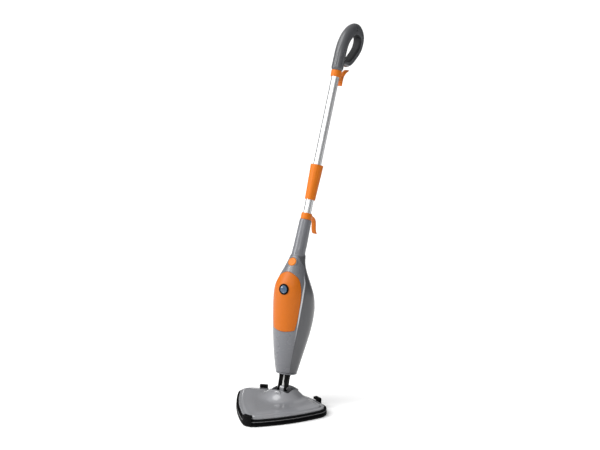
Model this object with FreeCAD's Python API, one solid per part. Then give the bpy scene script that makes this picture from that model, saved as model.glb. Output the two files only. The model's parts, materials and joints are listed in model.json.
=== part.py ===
import FreeCAD, Part
import math
import os
from FreeCAD import Vector

# Upright steam mop, millimetres. The floor is Z = 0, the tip of the triangular head points to -Y, and
# the origin is on the floor under the middle of the head. The mop stands with its pole leaning back.

# ---- driving dimensions -------------------------------------------------------------------------
# head outline: three corner circles joined by long tangent arcs
headTipY = -112.7
headTipRadius = 44.6
headCornerX = 113.4
headCornerY = 73.1
headCornerRadius = 39.6
headSideArcRadius = 524.0
headRearArcRadius = 270.3
gliderHeight = 9.4
gliderFrameWidth = 30.0
gliderBarHalf = 9.0
bumperBottom = 9.9
bumperTop = 20.4
baseInset = 9.0
baseFloor = 3.0
coverInset = 8.5
coverBottom = 20.7
coverRimTop = 25.0
deckInset = 18.0
deckTop = 29.0
coverWall = 2.6

# profile of the mound over the swivel, (radius, height), and its middle
hillProfile = [(84, 24), (68, 31), (54, 39.5), (42, 48.0), (31, 53.2)]
hillY = 82.0

# clips that hold a cloth: (x, y, turn from the front, half width, top)
clipPlaces = [(0.0, headTipY, 0.0, 15.0, 34.5), (98.0, 124.1, 158.7, 12.5, 33.5),
              (-98.0, 124.1, -158.7, 12.5, 33.5)]
clipThickness = 3.4
clipLeaf = 9.6
clipGap = 0.4
clipBottom = 2.0

# hook strips under the base plate, right-hand half: (x from, x to, y from, y to)
stripPlaces = [(12, 72, 48, 72), (11, 25, -50, -14)]
stripThickness = 1.4

# steam nozzles and head screws, (x, y)
nozzlePlaces = [(0.0, 34.0), (-38.0, 20.0), (38.0, 20.0)]
headScrewPlaces = [(0, -78), (-104, 66), (104, 66), (-48, 100), (48, 100)]

# swivel: a drum that rolls about a fore-aft axis, with a tongue that carries the pitch pin
pinY = 80.0
pinZ = 57.0
drumZ = 40.0
drumRadius = 11.0
drumFront = 60.0
drumRear = 100.0
journalRadius = 7.0
journalLength = 9.0
tongueHalf = 7.0
tongueRadius = 8.0
pinRadius = 3.0
runningFit = 0.05
openingHalf = 29.0
openingRear = 112.0
openingStep = 47.0

# leaning angles from the vertical
bodyLean = 11.5
poleLean = 22.4

# body, in its own frame: origin on the pitch pin, Z up the body, Y to the rear.
# Each station is (height, offset to the rear, radius).
bodyStations = [
    (45.0, 9.6, 31.6), (85.0, 9.3, 40.1), (135.0, 11.3, 49.8), (180.0, 13.9, 57.4),
    (222.0, 14.4, 62.0), (258.0, 11.4, 63.0), (290.0, 5.2, 60.3), (318.0, -1.8, 53.4),
    (342.0, -3.6, 43.8), (364.0, -2.6, 34.2), (386.0, 0.6, 26.8), (406.0, 6.8, 22.4)]
shellWall = 2.5
panelThickness = 1.5
seamRight = [(23.6, 45.0), (30.0, 88.0), (37.0, 135.0), (43.5, 180.0), (50.0, 237.0), (53.2, 285.0),
             (50.6, 320.0), (40.6, 348.0), (24.0, 388.0), (0.0, 412.0)]
panelRight = [(37.0, 177.0), (43.0, 212.0), (47.0, 250.0), (48.6, 285.0), (44.6, 318.0), (31.0, 344.0),
              (0.0, 358.0)]
switchHeight = 305.5
bezelRadius = 16.5
buttonRadius = 11.6
capHeight = 387.0
capOffset = -24.0
capTilt = 27.5
capRadius = 13.5
bottomRingHeight = 5.0
glandHeight = 96.0
glandRadius = 7.0
tankStations = [(196, 14, 50), (222, 14.4, 54), (258, 11.4, 54.5), (286, 6, 51)]
tankWall = 2.5
bodyScrewPlaces = [(-26, 120), (26, 120), (-34, 190), (34, 190), (0, 345)]

# yoke between the pitch pin and the body
yokeLean = 4.5
prongInner = 7.5
prongOuter = 15.0
prongDepth = 16.0

# pole, in its own frame: origin where the neck leaves the body, Z up the pole, Y to the rear
poleBaseY = 167.0
poleBaseZ = 452.0
neckTop = 110.0
neckBottomRadius = 20.3
neckTopRadius = 17.9
collarTop = 130.0
tubeRadius = 12.0
tubeWall = 1.1
sleeveBottom = 171.5
sleeveTop = 278.7
sleeveBottomRadius = 15.8
sleeveTopRadius = 19.5
lockHeight = 196.0
lockRadius = 4.0
upperCollarBottom = 552.4
handleBottom = 572.4
hookWidth = 15.0
hookThickness = 4.2
hookPivotHeight = 553.0
handleWall = 2.4
collarRadius = 16.6
lowerHook = [(13.5, 123.5), (30, 123), (44, 117), (51, 104), (54, 90), (62, 79)]
upperHook = [(35.5, 533), (34.2, 545), (34.4, 556), (37.5, 566), (47, 578), (60, 588.5)]

# handle loop: (offset to the rear, height, half width, half depth) along its middle line
handleFront = [(0, 572.4, 18.4, 18.0), (0, 602, 18.2, 18.0), (0.6, 636, 18.0, 18.0), (6.5, 665, 17.6, 18.4),
               (21, 691, 17.0, 19.5), (43, 710, 16.2, 20.5), (66, 715.5, 15.8, 20.0)]
handleRear = [(66, 715.5, 15.8, 20.0), (86, 707, 15.6, 16.0), (95.5, 689, 15.5, 13.0), (92.5, 664, 15.6, 12.0),
              (77.5, 639, 15.6, 11.6), (61, 618, 15.6, 11.5), (42, 604.5, 15.8, 10.5), (14, 601, 15.0, 8.5)]

# screw bosses in the handle: (offset to the rear, height, length from the middle plane)
handleBosses = [(0.6, 636, 16.2), (43, 710, 14.4), (91.6, 661, 13.6), (42, 604.5, 13.8)]

os.makedirs("parts", exist_ok=True)
AX = Vector(1, 0, 0)
AY = Vector(0, 1, 0)
AZ = Vector(0, 0, 1)


# ---- helpers ------------------------------------------------------------------------------------
def save(shape, name):
    shape.exportStep("parts/" + name + ".step")
    print(name, len(shape.Solids), "solid", round(shape.Volume / 1000, 2), "cm3", shape.isValid())


def box(x0, x1, y0, y1, z0, z1):
    return Part.makeBox(x1 - x0, y1 - y0, z1 - z0, Vector(x0, y0, z0))


def cylinder(radius, length, start, axis):
    return Part.makeCylinder(radius, length, Vector(*start), axis)


def ring(outer, inner, length, start, axis):
    return cylinder(outer, length, start, axis).cut(cylinder(inner, length, start, axis))


def placeBody(shape):
    """From the body's frame to the mop's frame."""
    moved = shape.copy()
    moved.rotate(Vector(0, 0, 0), AX, -bodyLean)
    moved.translate(Vector(0, pinY, pinZ))
    return moved


def placePole(shape):
    """From the pole's frame to the mop's frame."""
    moved = shape.copy()
    moved.rotate(Vector(0, 0, 0), AX, -poleLean)
    moved.translate(Vector(0, poleBaseY, poleBaseZ))
    return moved


def poleInBody(shape):
    """From the pole's frame to the body's frame."""
    moved = placePole(shape)
    moved.translate(Vector(0, -pinY, -pinZ))
    moved.rotate(Vector(0, 0, 0), AX, bodyLean)
    return moved


def group(shapes):
    return Part.makeCompound(shapes)


# ---- head ---------------------------------------------------------------------------------------
def arcCentre(a, ra, b, rb, radius):
    """Centre of the large arc that touches circles a and b from outside, on the inner side of a to b."""
    da = radius - ra
    db = radius - rb
    gap = b.sub(a)
    span = gap.Length
    along = (da * da - db * db + span * span) / (2 * span)
    across = math.sqrt(da * da - along * along)
    unit = gap.multiply(1 / span)
    left = Vector(-unit.y, unit.x, 0)
    return a.add(Vector(unit).multiply(along)).add(left.multiply(across))


def headOutline(inset, z):
    """Rounded triangle of the head, moved inwards by inset, as a closed wire at height z."""
    corners = [(Vector(0, headTipY + headTipRadius, 0), headTipRadius),
               (Vector(headCornerX, headCornerY, 0), headCornerRadius),
               (Vector(-headCornerX, headCornerY, 0), headCornerRadius)]
    sides = [headSideArcRadius, headRearArcRadius, headSideArcRadius]
    starts, ends, middles = [], [], []
    for i in range(3):
        a, ra = corners[i]
        b, rb = corners[(i + 1) % 3]
        centre = arcCentre(a, ra, b, rb, sides[i])
        reach = sides[i] - inset
        first = centre.add(a.sub(centre).normalize().multiply(reach))
        last = centre.add(b.sub(centre).normalize().multiply(reach))
        half = first.add(last).multiply(0.5).sub(centre).normalize().multiply(reach)
        starts.append(first)
        ends.append(last)
        middles.append(centre.add(half))
    edges = []
    for i in range(3):
        edges.append(Part.Arc(starts[i], middles[i], ends[i]).toShape())
        corner, radius = corners[(i + 1) % 3]
        nextStart = starts[(i + 1) % 3]
        half = ends[i].add(nextStart).multiply(0.5).sub(corner).normalize().multiply(radius - inset)
        edges.append(Part.Arc(ends[i], corner.add(half), nextStart).toShape())
    wire = Part.Wire(edges)
    wire.translate(Vector(0, 0, z))
    return wire


def headSlab(inset, z0, z1):
    return Part.Face(headOutline(inset, z0)).extrude(Vector(0, 0, z1 - z0))


def headLoft(insetBottom, z0, insetTop, z1):
    return Part.makeLoft([headOutline(insetBottom, z0), headOutline(insetTop, z1)], True, True)


def hill(shrink, drop):
    """Smooth mound over the swivel, shrunk by a wall thickness."""
    wires = []
    for radius, height in hillProfile:
        wires.append(Part.Wire(Part.makeCircle(radius - shrink, Vector(0, hillY, height - drop), AZ)))
    return Part.makeLoft(wires, True, False)


def makeHead():
    glider = headSlab(0, 0, gliderHeight)
    windows = headSlab(gliderFrameWidth, -1, gliderHeight + 1)
    bars = box(-160, 160, -gliderBarHalf, gliderBarHalf, -2, 12)
    bars = bars.fuse(box(-gliderBarHalf, gliderBarHalf, -120, 150, -2, 12))
    glider = glider.cut(windows.cut(bars))
    glider = glider.makeChamfer(1.6, [e for e in glider.Edges if e.BoundBox.ZMax < 0.1 and e.Length > 250])
    bumper = headSlab(0.8, bumperBottom, bumperTop).cut(headSlab(baseInset, bumperBottom - 1, bumperTop + 1))

    plate = headSlab(baseInset, bumperBottom, bumperTop)
    plate = plate.cut(headSlab(baseInset + 3, bumperBottom + baseFloor, bumperTop + 1))
    for y0 in (drumFront - journalLength - 1, drumRear + 0.4):
        wall = box(-16, 16, y0, y0 + journalLength + 0.6, bumperBottom + 1, drumZ)
        plate = plate.fuse(wall)
    plate = plate.cut(cylinder(journalRadius + runningFit, 80, (0, drumFront - 20, drumZ), AY))
    plate = plate.removeSplitter()
    blocks = []
    for y0 in (drumFront - journalLength - 1, drumRear + 0.4):
        block = cylinder(13.5, journalLength + 0.6, (0, y0, drumZ), AY)
        block = block.common(box(-20, 20, 0, 200, drumZ, drumZ + 9.5))
        block = block.cut(cylinder(journalRadius + runningFit, 80, (0, drumFront - 20, drumZ), AY))
        blocks.append(block)

    outer = headSlab(coverInset, coverBottom, coverRimTop)
    outer = outer.fuse(headLoft(deckInset - 2, coverRimTop, deckInset + 4, deckTop))
    outer = outer.fuse(hill(0, 0).common(headSlab(deckInset + 2, 22, 80)))
    inner = headSlab(coverInset + coverWall, coverBottom - 1, coverRimTop - coverWall)
    inner = inner.fuse(headLoft(deckInset + 1, coverRimTop - coverWall - 0.01,
                                deckInset + 7, deckTop - coverWall))
    inner = inner.fuse(hill(coverWall, coverWall).common(headSlab(deckInset + 5, 18, 80)))
    cover = outer.cut(inner)
    boss = cylinder(17, 14, (0, 46, drumZ), AY).cut(cylinder(14.5, 12, (0, 48.2, drumZ), AY))
    cover = cover.fuse(boss.common(box(-20, 20, 30, 70, 45, 70)))
    cover = cover.cut(box(-openingHalf, openingHalf, drumFront - 0.5, drumRear + 0.3, 30, 80))
    cover = cover.cut(box(-openingHalf, openingHalf, drumRear, openingRear, openingStep, 80))
    cover = cover.cut(cylinder(13.8, 13, (0, 48, drumZ), AY)).removeSplitter()

    clips = []
    for x, y, turn, wide, high in clipPlaces:
        clip = box(-wide, wide, -clipThickness, 0, clipBottom, high)
        clip = clip.fuse(box(-wide, wide, -clipThickness, clipLeaf, high - 3, high))
        clip = clip.fuse(box(-wide, wide, clipLeaf - 3, clipLeaf, coverRimTop + clipGap, high))
        clip.translate(Vector(0, -clipGap, 0))
        clip.rotate(Vector(0, 0, 0), AZ, turn)
        clip.translate(Vector(x, y, 0))
        clips.append(clip)

    strips = []
    for x0, x1, y0, y1 in stripPlaces:
        for side in (-1, 1):
            strips.append(box(min(side * x0, side * x1), max(side * x0, side * x1), y0, y1,
                              bumperBottom - stripThickness, bumperBottom))

    nozzles = []
    for x, y in nozzlePlaces:
        nozzle = cylinder(5.5, 8, (x, y, bumperBottom + baseFloor), AZ)
        nozzle = nozzle.fuse(cylinder(2.4, 5, (x, y, bumperBottom - 0.2), AZ))
        nozzle = nozzle.cut(cylinder(1.1, 20, (x, y, bumperBottom - 3), AZ))
        nozzles.append(nozzle)
        plate = plate.cut(cylinder(2.4, 8, (x, y, bumperBottom - 2), AZ))
    manifold = box(-46, 46, 14, 26, 21.0, 24.4).fuse(box(-6, 6, 20, 47, 21.0, 24.4))
    screws = []
    for x, y in headScrewPlaces:
        screw = cylinder(3.6, 2.4, (x, y, bumperBottom + baseFloor), AZ)
        screw = screw.fuse(cylinder(1.7, 6, (x, y, bumperBottom + baseFloor + 2.4), AZ))
        screws.append(screw)
    save(glider, "carpet_glider")
    save(bumper, "rubber_bumper")
    save(plate, "base_plate")
    save(group(blocks), "bearing_caps")
    save(cover, "head_cover")
    save(clips[0], "front_clip")
    save(group(clips[1:]), "rear_clips")
    save(group(strips), "hook_strips")
    save(group(nozzles), "steam_nozzles")
    save(manifold, "steam_manifold")
    save(group(screws), "head_screws")


# ---- swivel -------------------------------------------------------------------------------------
def makeSwivel():
    drum = cylinder(drumRadius, drumRear - drumFront, (0, drumFront, drumZ), AY)
    drum = drum.fuse(cylinder(journalRadius, drumRear - drumFront + 2 * journalLength,
                              (0, drumFront - journalLength, drumZ), AY))
    tongue = box(-tongueHalf, tongueHalf, pinY - tongueRadius, pinY + tongueRadius, drumZ, pinZ)
    tongue = tongue.fuse(cylinder(tongueRadius, 2 * tongueHalf, (-tongueHalf, pinY, pinZ), AX))
    drum = drum.fuse(tongue)
    drum = drum.cut(cylinder(5.0, 40, (-20, pinY, pinZ), AX))
    drum = drum.cut(cylinder(2.2, 60, (0, drumFront - 20, drumZ), AY)).removeSplitter()
    bush = ring(5.0, pinRadius + runningFit, 2 * tongueHalf, (-tongueHalf, pinY, pinZ), AX)
    save(drum, "swivel_drum")
    save(bush, "tongue_bush")


# ---- body ---------------------------------------------------------------------------------------
def bodyLoft(shrink):
    wires = []
    for height, offset, radius in bodyStations:
        wires.append(Part.Wire(Part.makeCircle(radius - shrink, Vector(0, offset, height), AZ)))
    return Part.makeLoft(wires, True, False)


def frontPrism(rightSide, reach):
    """Prism through the front of the body from one side of an outline seen from the front."""
    points = [Vector(x, -120, z) for x, z in rightSide]
    curve = Part.BSplineCurve()
    curve.interpolate(points)
    mirrored = Part.BSplineCurve()
    mirrored.interpolate([Vector(-p.x, p.y, p.z) for p in points])
    base = Part.makeLine(points[0], Vector(-points[0].x, -120, points[0].z))
    wire = Part.Wire(Part.__sortEdges__([curve.toShape(), mirrored.toShape(), base]))
    return Part.Face(wire).extrude(Vector(0, 120 + reach, 0))


def radiusAt(height):
    for (z0, y0, r0), (z1, y1, r1) in zip(bodyStations, bodyStations[1:]):
        if z0 <= height <= z1:
            part = (height - z0) / (z1 - z0)
            return y0 + (y1 - y0) * part, r0 + (r1 - r0) * part
    return bodyStations[-1][1], bodyStations[-1][2]


def makeYoke():
    prongs = []
    for x0 in (-prongOuter, prongInner):
        prong = box(x0, x0 + prongOuter - prongInner, -prongDepth / 2, prongDepth / 2, 0, 62)
        prong = prong.fuse(cylinder(prongDepth / 2, prongOuter - prongInner, (x0, 0, 0), AX))
        prongs.append(prong)
    yoke = prongs[0].fuse(prongs[1]).fuse(box(-prongOuter, prongOuter, -prongDepth / 2, prongDepth / 2, 52, 62))
    yoke.rotate(Vector(0, 0, 0), AX, -yokeLean)
    flange = bodyLoft(shellWall).common(box(-40, 40, -40, 60, 56, 62))
    yoke = yoke.fuse(flange)
    yoke = yoke.cut(cylinder(pinRadius, 60, (-30, 0, 0), AX))
    pipeBore = cylinder(4.0, 90, (0, 0, 12), AZ)
    pipeBore.rotate(Vector(0, 0, 0), AX, -yokeLean)
    yoke = yoke.cut(pipeBore).removeSplitter()
    pin = cylinder(pinRadius, 2 * prongOuter + 4, (-prongOuter - 2, 0, 0), AX)
    clips = []
    for x0 in (-prongOuter - 1.4, prongOuter + 0.2):
        clips.append(ring(4.6, pinRadius, 1.2, (x0, 0, 0), AX))
    pipe = ring(3.9, 2.2, 78, (0, 0, 13), AZ)
    saddle = cylinder(3.9, 5.4, (0, 0, 8.0), AZ).cut(cylinder(2.2, 20, (0, 0, 0), AZ))
    saddle = saddle.cut(cylinder(tongueRadius + 0.3, 30, (-15, 0, 0), AX))
    pipe = pipe.fuse(saddle).removeSplitter()
    pipe.rotate(Vector(0, 0, 0), AX, -yokeLean)
    save(placeBody(yoke), "yoke")
    save(placeBody(pin), "pitch_pin")
    save(placeBody(group(clips)), "pin_clips")
    save(placeBody(pipe), "steam_pipe")


def capPlace(shape):
    """From the filler cap's frame, Z out of the cap, to the body's frame."""
    moved = shape.copy()
    moved.rotate(Vector(0, 0, 0), AX, 90 - capTilt)
    moved.translate(Vector(0, capOffset, capHeight))
    return moved


def makeBody():
    outer = bodyLoft(0)
    middle = bodyLoft(panelThickness)
    inner = bodyLoft(shellWall)
    cavity = inner.common(box(-80, 80, -90, 90, 45 + 3, 402))
    shell = outer.cut(cavity)
    seam = frontPrism(seamRight, 2.0)
    front = shell.common(seam)
    rear = shell.cut(seam)
    window = frontPrism(panelRight, -6.0)
    panel = outer.cut(middle).common(window)
    front = front.cut(panel)

    # closing ring at the bottom, with room for the yoke's flange
    bottomZ = bodyStations[0][0]
    base = outer.common(box(-80, 80, -90, 90, bottomZ - 1, bottomZ + bottomRingHeight))
    front = front.cut(base)
    rear = rear.cut(base)
    yokeHole = box(-prongOuter - 0.2, prongOuter + 0.2, -8.6 + 3.2, 8.6 + 4.6, 0, 70)
    base = base.cut(yokeHole)

    # filler opening: a seat on the shoulder, with a tube to the tank
    seat = capPlace(cylinder(16.2, 9.5, (0, 0, -9.5), AZ))
    pocket = capPlace(cylinder(capRadius + 0.5, 14.0, (0, 0, -6.0), AZ))
    throat = capPlace(cylinder(7.3, 40, (0, 0, -14), AZ))
    front = front.fuse(seat.cut(poleInBody(cylinder(tubeRadius + 0.5, 60, (0, 0, -40), AZ))))
    front = front.cut(pocket).cut(throat)
    neckOuter = capPlace(ring(9.2, 7.3, 22, (0, 0, -31.8), AZ))

    # switch opening
    switchOffset, switchRadius = radiusAt(switchHeight)
    faceY = switchOffset - switchRadius
    hole = cylinder(bezelRadius, 12, (0, faceY - 6, switchHeight), AY)
    front = front.cut(hole)
    panel = panel.cut(hole)
    bezel = ring(bezelRadius, buttonRadius + 0.3, 7.0, (0, faceY - 1.2, switchHeight), AY)
    button = cylinder(buttonRadius, 6.4, (0, faceY - 1.8, switchHeight), AY)
    block = box(-9, 9, faceY + 8.4, faceY + 20, switchHeight - 10, switchHeight + 10)
    board = box(-17, 17, faceY + 20, faceY + 21.6, switchHeight - 30, switchHeight + 18)

    # neck opening at the top of the shells, for the tube
    tubeHole = poleInBody(cylinder(tubeRadius + 0.1, 60, (0, 0, -22), AZ))
    front = front.cut(tubeHole).removeSplitter()
    rear = rear.cut(tubeHole).removeSplitter()

    # cord inlet low on the rear
    backY = sum(radiusAt(glandHeight))
    rear = rear.cut(cylinder(glandRadius, 20, (0, backY - 12, glandHeight), AY))
    gland = cylinder(glandRadius, 13, (0, backY - 11, glandHeight), AY)
    gland = gland.fuse(cylinder(9.0, 2.4, (0, backY + 0.4, glandHeight), AY))
    gland = gland.cut(rear).cut(cylinder(3.6, 40, (0, backY - 20, glandHeight), AY))

    # inner pieces
    tank = Part.makeLoft([Part.Wire(Part.makeCircle(r, Vector(0, y, z), AZ))
                          for z, y, r in tankStations], True, False)
    tank = tank.common(box(-70, 70, -30, 90, 190, 300))
    hollow = Part.makeLoft([Part.Wire(Part.makeCircle(r - tankWall, Vector(0, y, z), AZ))
                            for z, y, r in tankStations], True, False)
    tank = tank.cut(hollow.common(box(-70, 70, -27.5, 90, 198.5, 283.5)))
    tank = tank.cut(cylinder(5, 30, (0, -14, 275), AZ))
    fillPipe = cylinder(6.4, 80, (0, 2.5, 286.2), AZ)
    fillPipe = fillPipe.cut(cylinder(5.0, 90, (0, 2.5, 280), AZ)).cut(neckOuter)
    pump = box(-18, 18, 0, 34, 142, 180).fuse(cylinder(5, 36, (0, 24, 106), AZ))
    heater = box(-20, 20, -16, 14, 70, 130).fuse(cylinder(6, 8, (0, -8, 130), AZ))
    pipeRoom = cylinder(3.95, 90, (0, 0, 13), AZ)
    pipeRoom.rotate(Vector(0, 0, 0), AX, -yokeLean)
    heater = heater.cut(pipeRoom)
    thermostat = cylinder(8, 9, (20, -2, 108), AX)
    fuse = cylinder(3, 22, (23.2, -2, 76), AZ)
    tankHose = cylinder(3.2, 16, (0, 17, 180), AZ)
    pumpHose = cylinder(3.2, 20, (0, 24, 86), AZ)

    screws = []
    for x, z in bodyScrewPlaces:
        offset, radius = radiusAt(z)
        edge = offset + math.sqrt(radius * radius - x * x)
        screws.append(cylinder(3.0, 6.0, (x, edge - 9.0, z), AY))
    for screw in screws:
        rear = rear.cut(cylinder(3.0, 30.0, (screw.CenterOfMass.x, screw.CenterOfMass.y - 3.0,
                                            screw.CenterOfMass.z), AY))

    # filler cap
    knob = cylinder(capRadius, 7.0, (0, 0, -5.0), AZ)
    knob = knob.makeFillet(2.4, [e for e in knob.Edges if e.BoundBox.ZMin > 1.9])
    knob = capPlace(knob.cut(cylinder(2.55, 3.2, (0, 0, -5.0), AZ)))
    stem = capPlace(cylinder(6.6, 8.0, (0, 0, -13.6), AZ).fuse(cylinder(2.5, 3.5, (0, 0, -5.6), AZ)))
    seal = capPlace(ring(7.0, 6.6, 1.6, (0, 0, -11.6), AZ))

    save(placeBody(front), "front_shell")
    save(placeBody(rear), "rear_shell")
    save(placeBody(panel), "front_panel")
    save(placeBody(base), "bottom_ring")
    save(placeBody(bezel), "switch_bezel")
    save(placeBody(button), "switch_button")
    save(placeBody(block), "switch_block")
    save(placeBody(board), "circuit_board")
    save(placeBody(neckOuter), "filler_neck")
    save(placeBody(gland), "cord_gland")
    save(placeBody(tank), "water_tank")
    save(placeBody(fillPipe), "filler_pipe")
    save(placeBody(pump), "pump")
    save(placeBody(heater), "heater_block")
    save(placeBody(thermostat), "thermostat")
    save(placeBody(fuse), "thermal_fuse")
    save(placeBody(group([tankHose, pumpHose])), "water_hoses")
    save(placeBody(group(screws)), "body_screws")
    save(placeBody(knob), "filler_cap")
    save(placeBody(stem), "cap_plug")
    save(placeBody(seal), "cap_seal")
    return outer


# ---- pole ---------------------------------------------------------------------------------------
def strap(points, width, thickness):
    """Bent strap in the plane X = 0 through (rear, height) points, rounded at its bends."""
    middle = Part.BSplineCurve()
    middle.interpolate([Vector(0, y, z) for y, z in points])
    count = 14
    nearSide, farSide = [], []
    for i in range(count + 1):
        u = middle.FirstParameter + (middle.LastParameter - middle.FirstParameter) * i / count
        p = middle.value(u)
        t = middle.tangent(u)[0]
        normal = Vector(0, -t.z, t.y).multiply(thickness / 2)
        nearSide.append(p.add(normal))
        farSide.append(p.sub(normal))
    one = Part.BSplineCurve()
    one.interpolate(nearSide)
    two = Part.BSplineCurve()
    two.interpolate(farSide)
    ends = [Part.makeLine(nearSide[0], farSide[0]), Part.makeLine(nearSide[-1], farSide[-1])]
    face = Part.Face(Part.Wire(Part.__sortEdges__([one.toShape(), two.toShape()] + ends)))
    face.translate(Vector(-width / 2, 0, 0))
    return face.extrude(Vector(width, 0, 0))


def halfEllipse(section, along, shrink):
    """Left half of an ellipse across the handle's middle line, as a spline, and its two end points."""
    y, z, wide, deep = section
    centre = Vector(0, y, z)
    across = along.cross(AX).normalize()
    points = []
    for i in range(9):
        angle = math.pi * (i / 8 - 0.5)
        side = Vector(-(wide - shrink) * math.cos(angle), 0, 0)
        points.append(centre.add(side).add(Vector(across).multiply((deep - shrink) * math.sin(angle))))
    spline = Part.BSplineCurve()
    spline.interpolate(points, InitialTangent=Vector(-1, 0, 0), FinalTangent=Vector(1, 0, 0))
    return spline.toShape(), points[0], points[-1]


def handleLoft(sections, before, after, solid):
    """Left half of a stretch of the handle: a C-shaped wall, or the whole half when solid."""
    line = [before] + sections + [after]
    wires = []
    for i, section in enumerate(sections):
        along = Vector(0, line[i + 2][0] - line[i][0], line[i + 2][1] - line[i][1]).normalize()
        outer, outerStart, outerEnd = halfEllipse(section, along, 0)
        if solid:
            edges = [outer, Part.makeLine(outerEnd, outerStart)]
        else:
            inner, innerStart, innerEnd = halfEllipse(section, along, handleWall)
            edges = [outer, Part.makeLine(outerEnd, innerEnd), inner, Part.makeLine(innerStart, outerStart)]
        wires.append(Part.Wire(Part.__sortEdges__(edges)))
    return Part.makeLoft(wires, True, False)


def makeHandle():
    below = (0, handleFront[0][1] - 10)
    beyond = handleRear[-1]
    front = handleLoft(handleFront, below, handleRear[1], False)
    frontSolid = handleLoft(handleFront, below, handleRear[1], True)
    rear = handleLoft(handleRear, handleFront[-2], beyond, False).cut(frontSolid)
    left = front.fuse(max(rear.Solids, key=lambda s: s.Volume))
    for y, z, reach in handleBosses:
        left = left.fuse(cylinder(4.2, reach, (-reach, y, z), AX))
    socket = ring(17.4, tubeRadius + 0.02, 8, (0, 0, handleBottom), AZ)
    left = left.fuse(socket.common(box(-40, 0, -40, 40, 540, 640)))
    right = left.mirror(Vector(0, 0, 0), AX)
    screws = []
    for y, z, reach in handleBosses:
        screw = cylinder(1.5, 18, (-7, y, z), AX)
        left = left.cut(screw)
        right = right.cut(screw).cut(cylinder(2.8, 30, (11, y, z), AX))
        screws.append(screw.fuse(cylinder(2.7, 2.0, (11, y, z), AX)))
    save(placePole(left), "handle_left")
    save(placePole(right), "handle_right")
    save(placePole(group(screws)), "handle_screws")


def makePole(bodyOuter):
    neck = Part.makeCone(neckBottomRadius, neckTopRadius, neckTop + 14, Vector(0, 0, -14), AZ)
    neck = poleInBody(neck).cut(bodyOuter)
    neck = neck.cut(poleInBody(cylinder(tubeRadius + 0.05, 200, (0, 0, -40), AZ)))
    neck = max(neck.Solids, key=lambda s: s.Volume)
    hollow = Part.makeCone(neckBottomRadius - 2.6, neckTopRadius - 2.4, neckTop - 12, Vector(0, 0, 6), AZ)
    neck = neck.cut(poleInBody(hollow.cut(cylinder(tubeRadius + 1.6, 200, (0, 0, -40), AZ))))

    collar = ring(collarRadius, tubeRadius, collarTop - neckTop - 0.2, (0, 0, neckTop + 0.2), AZ)
    hook = strap(lowerHook, hookWidth, hookThickness)
    hook = hook.cut(cylinder(tubeRadius + 0.2, 60, (0, 0, 90), AZ))
    collar = collar.fuse(hook).removeSplitter()

    lowerTube = ring(tubeRadius, tubeRadius - tubeWall, 220 + 12, (0, 0, -12), AZ)
    upperTube = ring(tubeRadius, tubeRadius - tubeWall, 600 - 226, (0, 0, 226), AZ)
    core = ring(tubeRadius - tubeWall - 0.05, 8.5, 90, (0, 0, 180), AZ)
    sleeve = Part.makeCone(sleeveBottomRadius, sleeveTopRadius, sleeveTop - sleeveBottom,
                           Vector(0, 0, sleeveBottom), AZ)
    sleeve = sleeve.cut(cylinder(tubeRadius, 140, (0, 0, sleeveBottom - 10), AZ))
    hollow = Part.makeCone(sleeveBottomRadius - 2.2, sleeveTopRadius - 2.6, sleeveTop - sleeveBottom - 8,
                           Vector(0, 0, sleeveBottom + 4), AZ)
    hollow = hollow.cut(cylinder(tubeRadius + 1.6, 140, (0, 0, sleeveBottom - 10), AZ))
    sleeve = sleeve.cut(hollow.cut(box(-7, 7, 0, 30, 188, 204)))
    stopRing = ring(tubeRadius, tubeRadius - tubeWall, 5.6, (0, 0, 220.2), AZ)
    well = cylinder(lockRadius + 0.3, 20, (0, 10.0, lockHeight), AY)
    sleeve = sleeve.cut(well)
    lowerTube = lowerTube.cut(cylinder(lockRadius + 0.3, 20, (0, 4, lockHeight), AY))
    core = core.cut(cylinder(lockRadius + 0.3, 20, (0, 4, lockHeight), AY))
    lockButton = cylinder(lockRadius, 9.0, (0, 9.2, lockHeight), AY)

    upperCollar = ring(collarRadius, tubeRadius, handleBottom - upperCollarBottom - 0.2,
                       (0, 0, upperCollarBottom), AZ)
    bracket = box(-7, 7, 12, 31.5, upperCollarBottom - 8, upperCollarBottom + 9)
    bracket = bracket.cut(cylinder(tubeRadius + 0.02, 60, (0, 0, 520), AZ))
    upperCollar = upperCollar.fuse(bracket)
    upperCollar = upperCollar.cut(cylinder(2.0, 30, (0, 18, hookPivotHeight), AY)).removeSplitter()
    turningHook = strap(upperHook, hookWidth, hookThickness)
    turningHook = turningHook.fuse(cylinder(6.5, 5.1, (0, 31.8, hookPivotHeight), AY))
    turningHook = turningHook.cut(cylinder(2.0 + runningFit, 30, (0, 20, hookPivotHeight), AY)).removeSplitter()
    hookScrew = cylinder(2.0, 18, (0, 20, hookPivotHeight), AY)
    hookScrew = hookScrew.fuse(cylinder(4.2, 2.2, (0, 37.2, hookPivotHeight), AY))

    save(placeBody(neck), "neck_cover")
    save(placePole(collar), "lower_collar")
    save(placePole(lowerTube), "lower_tube")
    save(placePole(upperTube), "upper_tube")
    save(placePole(core), "coupling_core")
    save(placePole(sleeve.fuse(stopRing).removeSplitter()), "coupling_sleeve")
    save(placePole(lockButton), "lock_button")
    save(placePole(upperCollar), "upper_collar")
    save(placePole(turningHook), "turning_hook")
    save(placePole(hookScrew), "hook_screw")


makeHead()
makeSwivel()
makeYoke()
makePole(makeBody())
makeHandle()
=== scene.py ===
import bmesh
import bpy
import json
from bisect import bisect_right
from math import asin, atan2, cos, degrees, pi, radians, sin, sqrt
from mathutils import Matrix, Vector


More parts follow.
